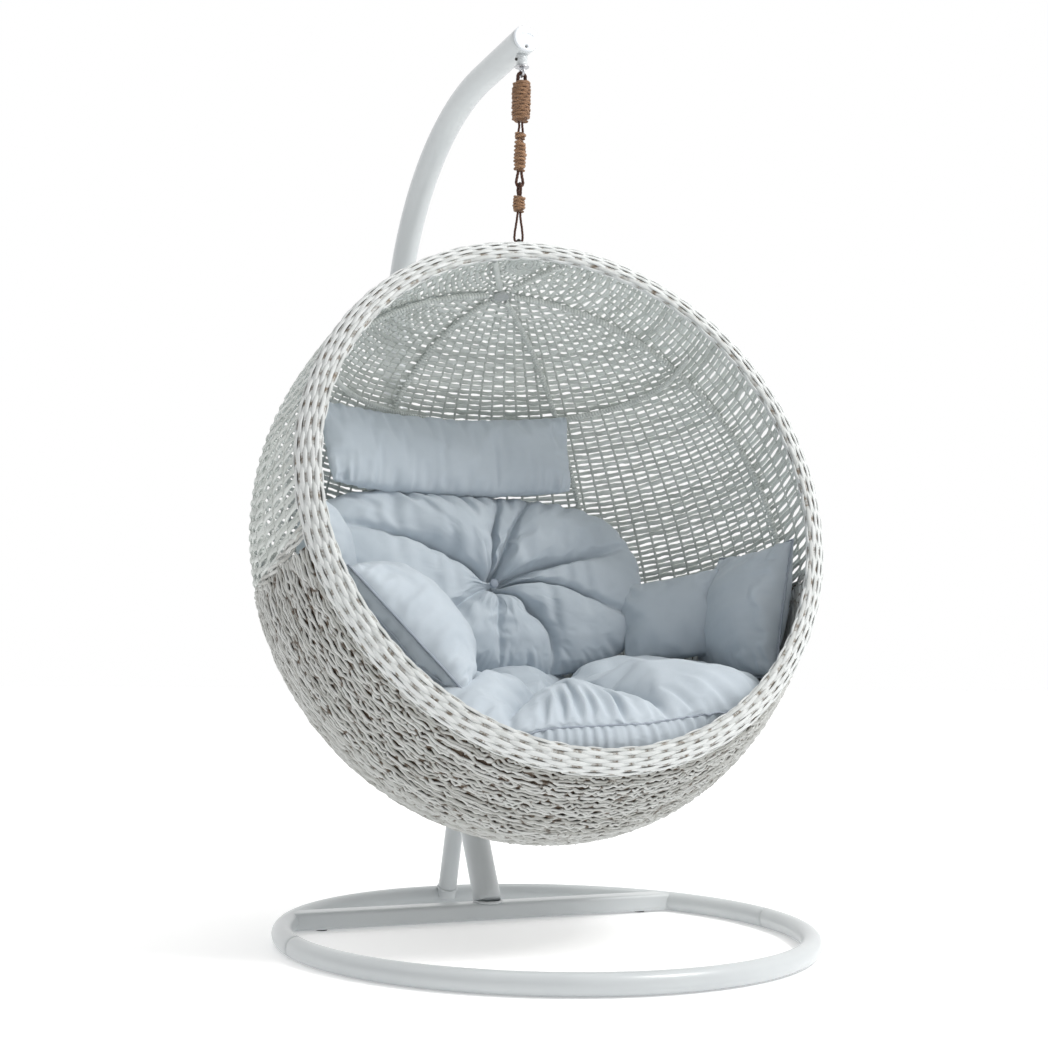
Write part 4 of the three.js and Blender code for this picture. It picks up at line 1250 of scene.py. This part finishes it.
def build_back_cushion():
    deg = math.radians
    # The cushion's own plane: X to its right, Y up, Z out towards the sitter.
    stand_up = Matrix(((1, 0, 0, 0), (0, 0, -1, 0), (0, 1, 0, 0), (0, 0, 0, 1)))
    matrix = BASKET @ Matrix.Translation(Vector((6, 258, 8)) / 1000) @ stand_up
    creases = [
        (deg(150), deg(163), 62, 7), (deg(92), deg(82), 56, 6), (deg(70), deg(62), 54, 6),
        (deg(20), deg(12), 60, 6), (deg(2), deg(-16), 56, 6), (deg(-34), deg(-58), 56, 7),
        (deg(-96), deg(-96), 26, 7), (deg(-150), deg(-148), 40, 8),
    ]
    pleats = [(deg(a), length, depth) for a, length, depth in (
        (152, 0.46, 14), (136, 0.55, 17), (122, 0.4, 13), (109, 0.5, 15), (97, 0.36, 12), (74, 0.5, 14),
        (52, 0.46, 14), (43, 0.36, 11), (33, 0.28, 9), (-8, 0.24, 9), (-30, 0.24, 8), (-75, 0.36, 12),
        (-88, 0.36, 10),
        (-120, 0.3, 9), (178, 0.36, 10),
    )]

    def curved(points):
        """Bends the cushion round the inside of the basket."""
        bow = 34 * (points[:, 0] / 400) ** 2
        return points + np.stack([0 * bow, 0 * bow, bow], -1)

    outline = rounded_oval(440, 364, 214, 4.2, 2.7)
    centre = tufted("back_cushion_cover", outline, 80, 62, creases, 56, pleats,
                    lambda angle: 6 * np.cos(3 * angle), matrix, "back_cushion", 61, curved)
    dome = [(0, -6), (8, -6), (10, -4), (10.6, -2), (9.9, 0), (7.5, 1.8), (4, 2.8), (0, 3.1)]
    at = matrix @ Matrix.Translation(Vector(centre) / 1000)
    button = turned("back_cushion_button", dome, PIPING, at, 40)
    place(button, "basket", "cushion_cloth", "back_button")


def build_seat():
    deg = math.radians
    inside = BASKET.inverted()
    centre = Vector((0.01, -0.15, 0.462))

    def reach_at(angle, z, inset):
        """How far the inside of the basket is from the seat's middle, at a world height in metres."""
        flat_angles = np.ravel(angle)
        out = np.zeros(len(flat_angles))
        for i, a in enumerate(flat_angles):
            near, far = 0.1, 0.7
            for _ in range(14):
                mid = (near + far) / 2
                at = Vector((centre.x + mid * math.cos(a), centre.y + mid * math.sin(a), z))
                p = inside @ at * 1000
                side, tall = EGG_SIDE - inset, EGG_TALL - inset
                depth = (EGG_BACK if p.y > 0 else EGG_FRONT) - inset
                lift = RIM_LIFT * (min(max(-p.y, 0), RIM_DEPTH) / RIM_DEPTH) ** 2
                share = (p.x / side) ** 2 + (p.y / depth) ** 2 + ((p.z - lift) / tall) ** 2
                fits = share < 1 and p.y > -212
                near, far = (mid, far) if fits else (near, mid)
            out[i] = near * 1000
        return out

    def rise(angle):
        """How much the seam climbs the basket's side, in millimetres."""
        table_at = np.radians([-180, -165, -150, -132, -114, -75, -35, 0, 40, 90, 150, 180])
        table = [0, -24, -38, -34, -8, 0, 34, 62, 50, 22, 10, 0]
        return np.interp(wrapped(angle), table_at, table)

    fan = np.linspace(-math.pi, math.pi, 121)
    upper = np.array([reach_at(a, 0.47 + rise(a) / 1000, 32)[0] for a in fan])
    lower = reach_at(fan, 0.405, 34)
    soften = np.array([0.25, 0.5, 0.25])
    for table in (upper, lower):
        for _ in range(3):
            ring = np.concatenate([table[-3:-1], table, table[1:3]])
            table[:] = np.convolve(ring, soften, "same")[2:-2]

    def outline(angle, level):
        return np.interp(wrapped(angle), fan, upper if level > 0 else lower * 0.97)

    creases = [
        (deg(-125), deg(-128), 62, 9), (deg(-69), deg(-66), 70, 9), (deg(-13), deg(-8), 60, 9),
        (deg(53), deg(50), 56, 9), (deg(117), deg(115), 50, 9), (deg(175), deg(172), 50, 9),
    ]
    pleats = [(deg(a), length, depth) for a, length, depth in (
        (-117, 0.4, 13), (-110, 0.5, 16), (-103, 0.6, 18), (-97, 0.4, 14), (-91, 0.5, 17), (-84, 0.55, 16),
        (-77, 0.4, 13), (-58, 0.3, 12), (-48, 0.36, 14), (-38, 0.4, 15), (-28, 0.34, 13), (-20, 0.3, 11),
        (5, 0.3, 10), (20, 0.34, 11), (36, 0.3, 10), (80, 0.3, 10), (-136, 0.4, 13), (-146, 0.34, 13),
        (-157, 0.36, 12), (-168, 0.3, 10), (140, 0.25, 9),
    )]

    def lobes(angle):
        table_at = np.radians([-180, -150, -128, -97, -67, -40, -10, 20, 51, 85, 116, 145, 172, 180])
        table = [26, 30, 2, 12, 2, 50, 8, 36, 2, 18, 4, 20, 10, 26]
        return np.interp(wrapped(angle), table_at, table)

    def laid(points):
        """Lifts the seam to its height, then lets the pillows sink into the seat."""
        angle = np.arctan2(points[:, 1], points[:, 0])
        share = np.clip(np.hypot(points[:, 0], points[:, 1]) / np.maximum(outline(angle, 1), 1), 0, 1)
        points[:, 2] += rise(angle) * share**2 * smoothstep((points[:, 2] + 62) / 40)
        origin = np.array(centre) * 1000
        return sunk_under(points + origin, THROW_LEFT, THROW_RIGHT, BOLSTER_RIGHT) - origin

    tufted("seat_cushion_cover", outline, 68, 62, creases, 34, pleats, lobes, Matrix.Translation(centre),
           "seat_cushion", 83, laid, rings=46, spokes=260, ruffle=4.5, slack=0.06, cap=0.018, gusset=True)


def build_cushions():
    build_back_cushion()
    build_seat()
    pillow("head_pillow_cover", (625, 92, 196), (-98, 226, 307), (-2, 4), "head_pillow", 21, 0.010,
           pinch=0.03, bow=64, puckers=(9.0, 2.5), taper=0.03)
    pillow("bolster_left_cover", (205, 100, 195), (-425, 110, 20), (0, 62), "side_bolster_left", 33, 0.008)
    pillow("bolster_right_cover", (248, 86, 206), *BOLSTER_RIGHT[1:], "side_bolster_right", 43, 0.008,
           puckers=(2.5, 2.5))
    pillow("leaning_pillow_cover", (350, 186, 356), *THROW_LEFT[1:], "throw_pillow_left", 57, 0.012,
           flat=0.56, square=2.2, puckers=(8.0, 8.0), piping=2.6, zipped=True, fill=0.8)
    pillow("right_pillow_cover", (300, 196, 316), *THROW_RIGHT[1:], "throw_pillow_right", 65, 0.010,
           pinch=0.08, square=2.1, puckers=(8.0, 8.0), piping=2.6, fill=0.8)


# ---------------------------------------------------------------- floor, light and camera


def plain_surface(name, colour):
    """A matt floor with a little light of its own, as a floor under a bright studio has."""
    m = Nodes(name, Specular_IOR_Level=0.1, Emission_Color=(1, 1, 1, 1), Emission_Strength=0.26)
    m.colour(m.ramp(m.noise(2.5, 3, 0.5), [(0.3, tuple(0.985 * c for c in colour)), (0.7, colour)]))
    m.roughness(m.noise(40, 3, 0.5), 0.7, 0.85)
    return m.material


def build_studio():
    floor = mesh_object(
        "studio_floor",
        [(-14, -14, -0.0005), (14, -14, -0.0005), (14, 14, -0.0005), (-14, 14, -0.0005)],
        [[0, 1, 2, 3]],
        plain_surface("floor_white", (0.93, 0.93, 0.93)),
    )

    world = bpy.data.worlds.new("studio")
    bpy.context.scene.world = world
    world.use_nodes = True
    tree = world.node_tree
    coords = tree.nodes.new("ShaderNodeTexCoord")
    side = tree.nodes.new("ShaderNodeVectorMath")
    side.operation = "DOT_PRODUCT"
    side.inputs[1].default_value = Vector((0.6, 0.75, 0.3)).normalized()
    ramp = tree.nodes.new("ShaderNodeMapRange")
    ramp.interpolation_type = "SMOOTHSTEP"
    for socket, value in (("From Min", -0.6), ("From Max", 0.15), ("To Min", 0.27), ("To Max", 1.0)):
        ramp.inputs[socket].default_value = value
    tree.links.new(coords.outputs["Generated"], side.inputs[0])
    tree.links.new(side.outputs["Value"], ramp.inputs["Value"])
    tree.links.new(ramp.outputs["Result"], tree.nodes["Background"].inputs["Strength"])
    tree.nodes["Background"].inputs["Color"].default_value = (1.0, 1.0, 1.0, 1)

    for name, at, size, energy, colour in (
        ("key", (2.4, -2.6, 4.6), 1.5, 145, (1.0, 0.99, 0.97)),
        ("front", (0.4, -4.8, 2.2), 2.6, 16, (0.97, 0.985, 1.0)),
        ("top", (0.3, 0.9, 3.9), 2.2, 18, (1.0, 1.0, 1.0)),
    ):
        light = bpy.data.lights.new(name, "AREA")
        light.size = size
        light.energy = energy
        light.color = colour
        lamp = bpy.data.objects.new(name, light)
        lamp.location = at
        lamp.rotation_euler = (Vector((0, -0.1, 0.8)) - Vector(at)).to_track_quat("-Z", "Y").to_euler()
        bpy.context.scene.collection.objects.link(lamp)

    settings = bpy.context.scene.view_settings
    settings.view_transform = "Standard"


def build_camera():
    camera = bpy.data.cameras.new("camera")
    camera.lens = 60.8
    camera.sensor_width = 36
    camera.clip_start = 0.05
    viewer = bpy.data.objects.new("camera", camera)
    forward = Vector((0.43335, 0.89922, 0.06004)).normalized()
    up = Vector((-0.04326, -0.04579, 0.99801))
    right = forward.cross(up).normalized()
    up = right.cross(forward)
    turn = Matrix((right, up, -forward)).transposed().to_4x4()
    viewer.matrix_world = Matrix.Translation((-1.6579, -3.4963, 0.6403)) @ turn
    bpy.context.scene.collection.objects.link(viewer)
    bpy.context.scene.camera = viewer


# Finishes of the CAD nodes that are shown as they are.
CARRIED = {
    "ring_spigot_left": ZINC, "ring_spigot_right": ZINC, "mast_spigot": ZINC,
    "crossbar_pad_left": RUBBER, "crossbar_pad_right": RUBBER,
    "rim_hoop": RIB_STEEL, "frame_crown": RIB_STEEL, "frame_ring_upper": RIB_STEEL,
    "frame_ring_lower": RIB_STEEL, "collar_bolt": DARK_STEEL,
}


def dress_carried_nodes():
    for name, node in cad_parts.items():
        material = CARRIED.get(name, RIB_STEEL if name.startswith("rib_") else CLOTH)
        node.data.materials.clear()
        node.data.materials.append(material)


build_camera()
build_studio()
dress_carried_nodes()
build_stand()
build_cap()
build_swivel()
build_hanger()
build_dome()
build_frame_wraps()
build_bowl()
build_rim()
build_cushions()
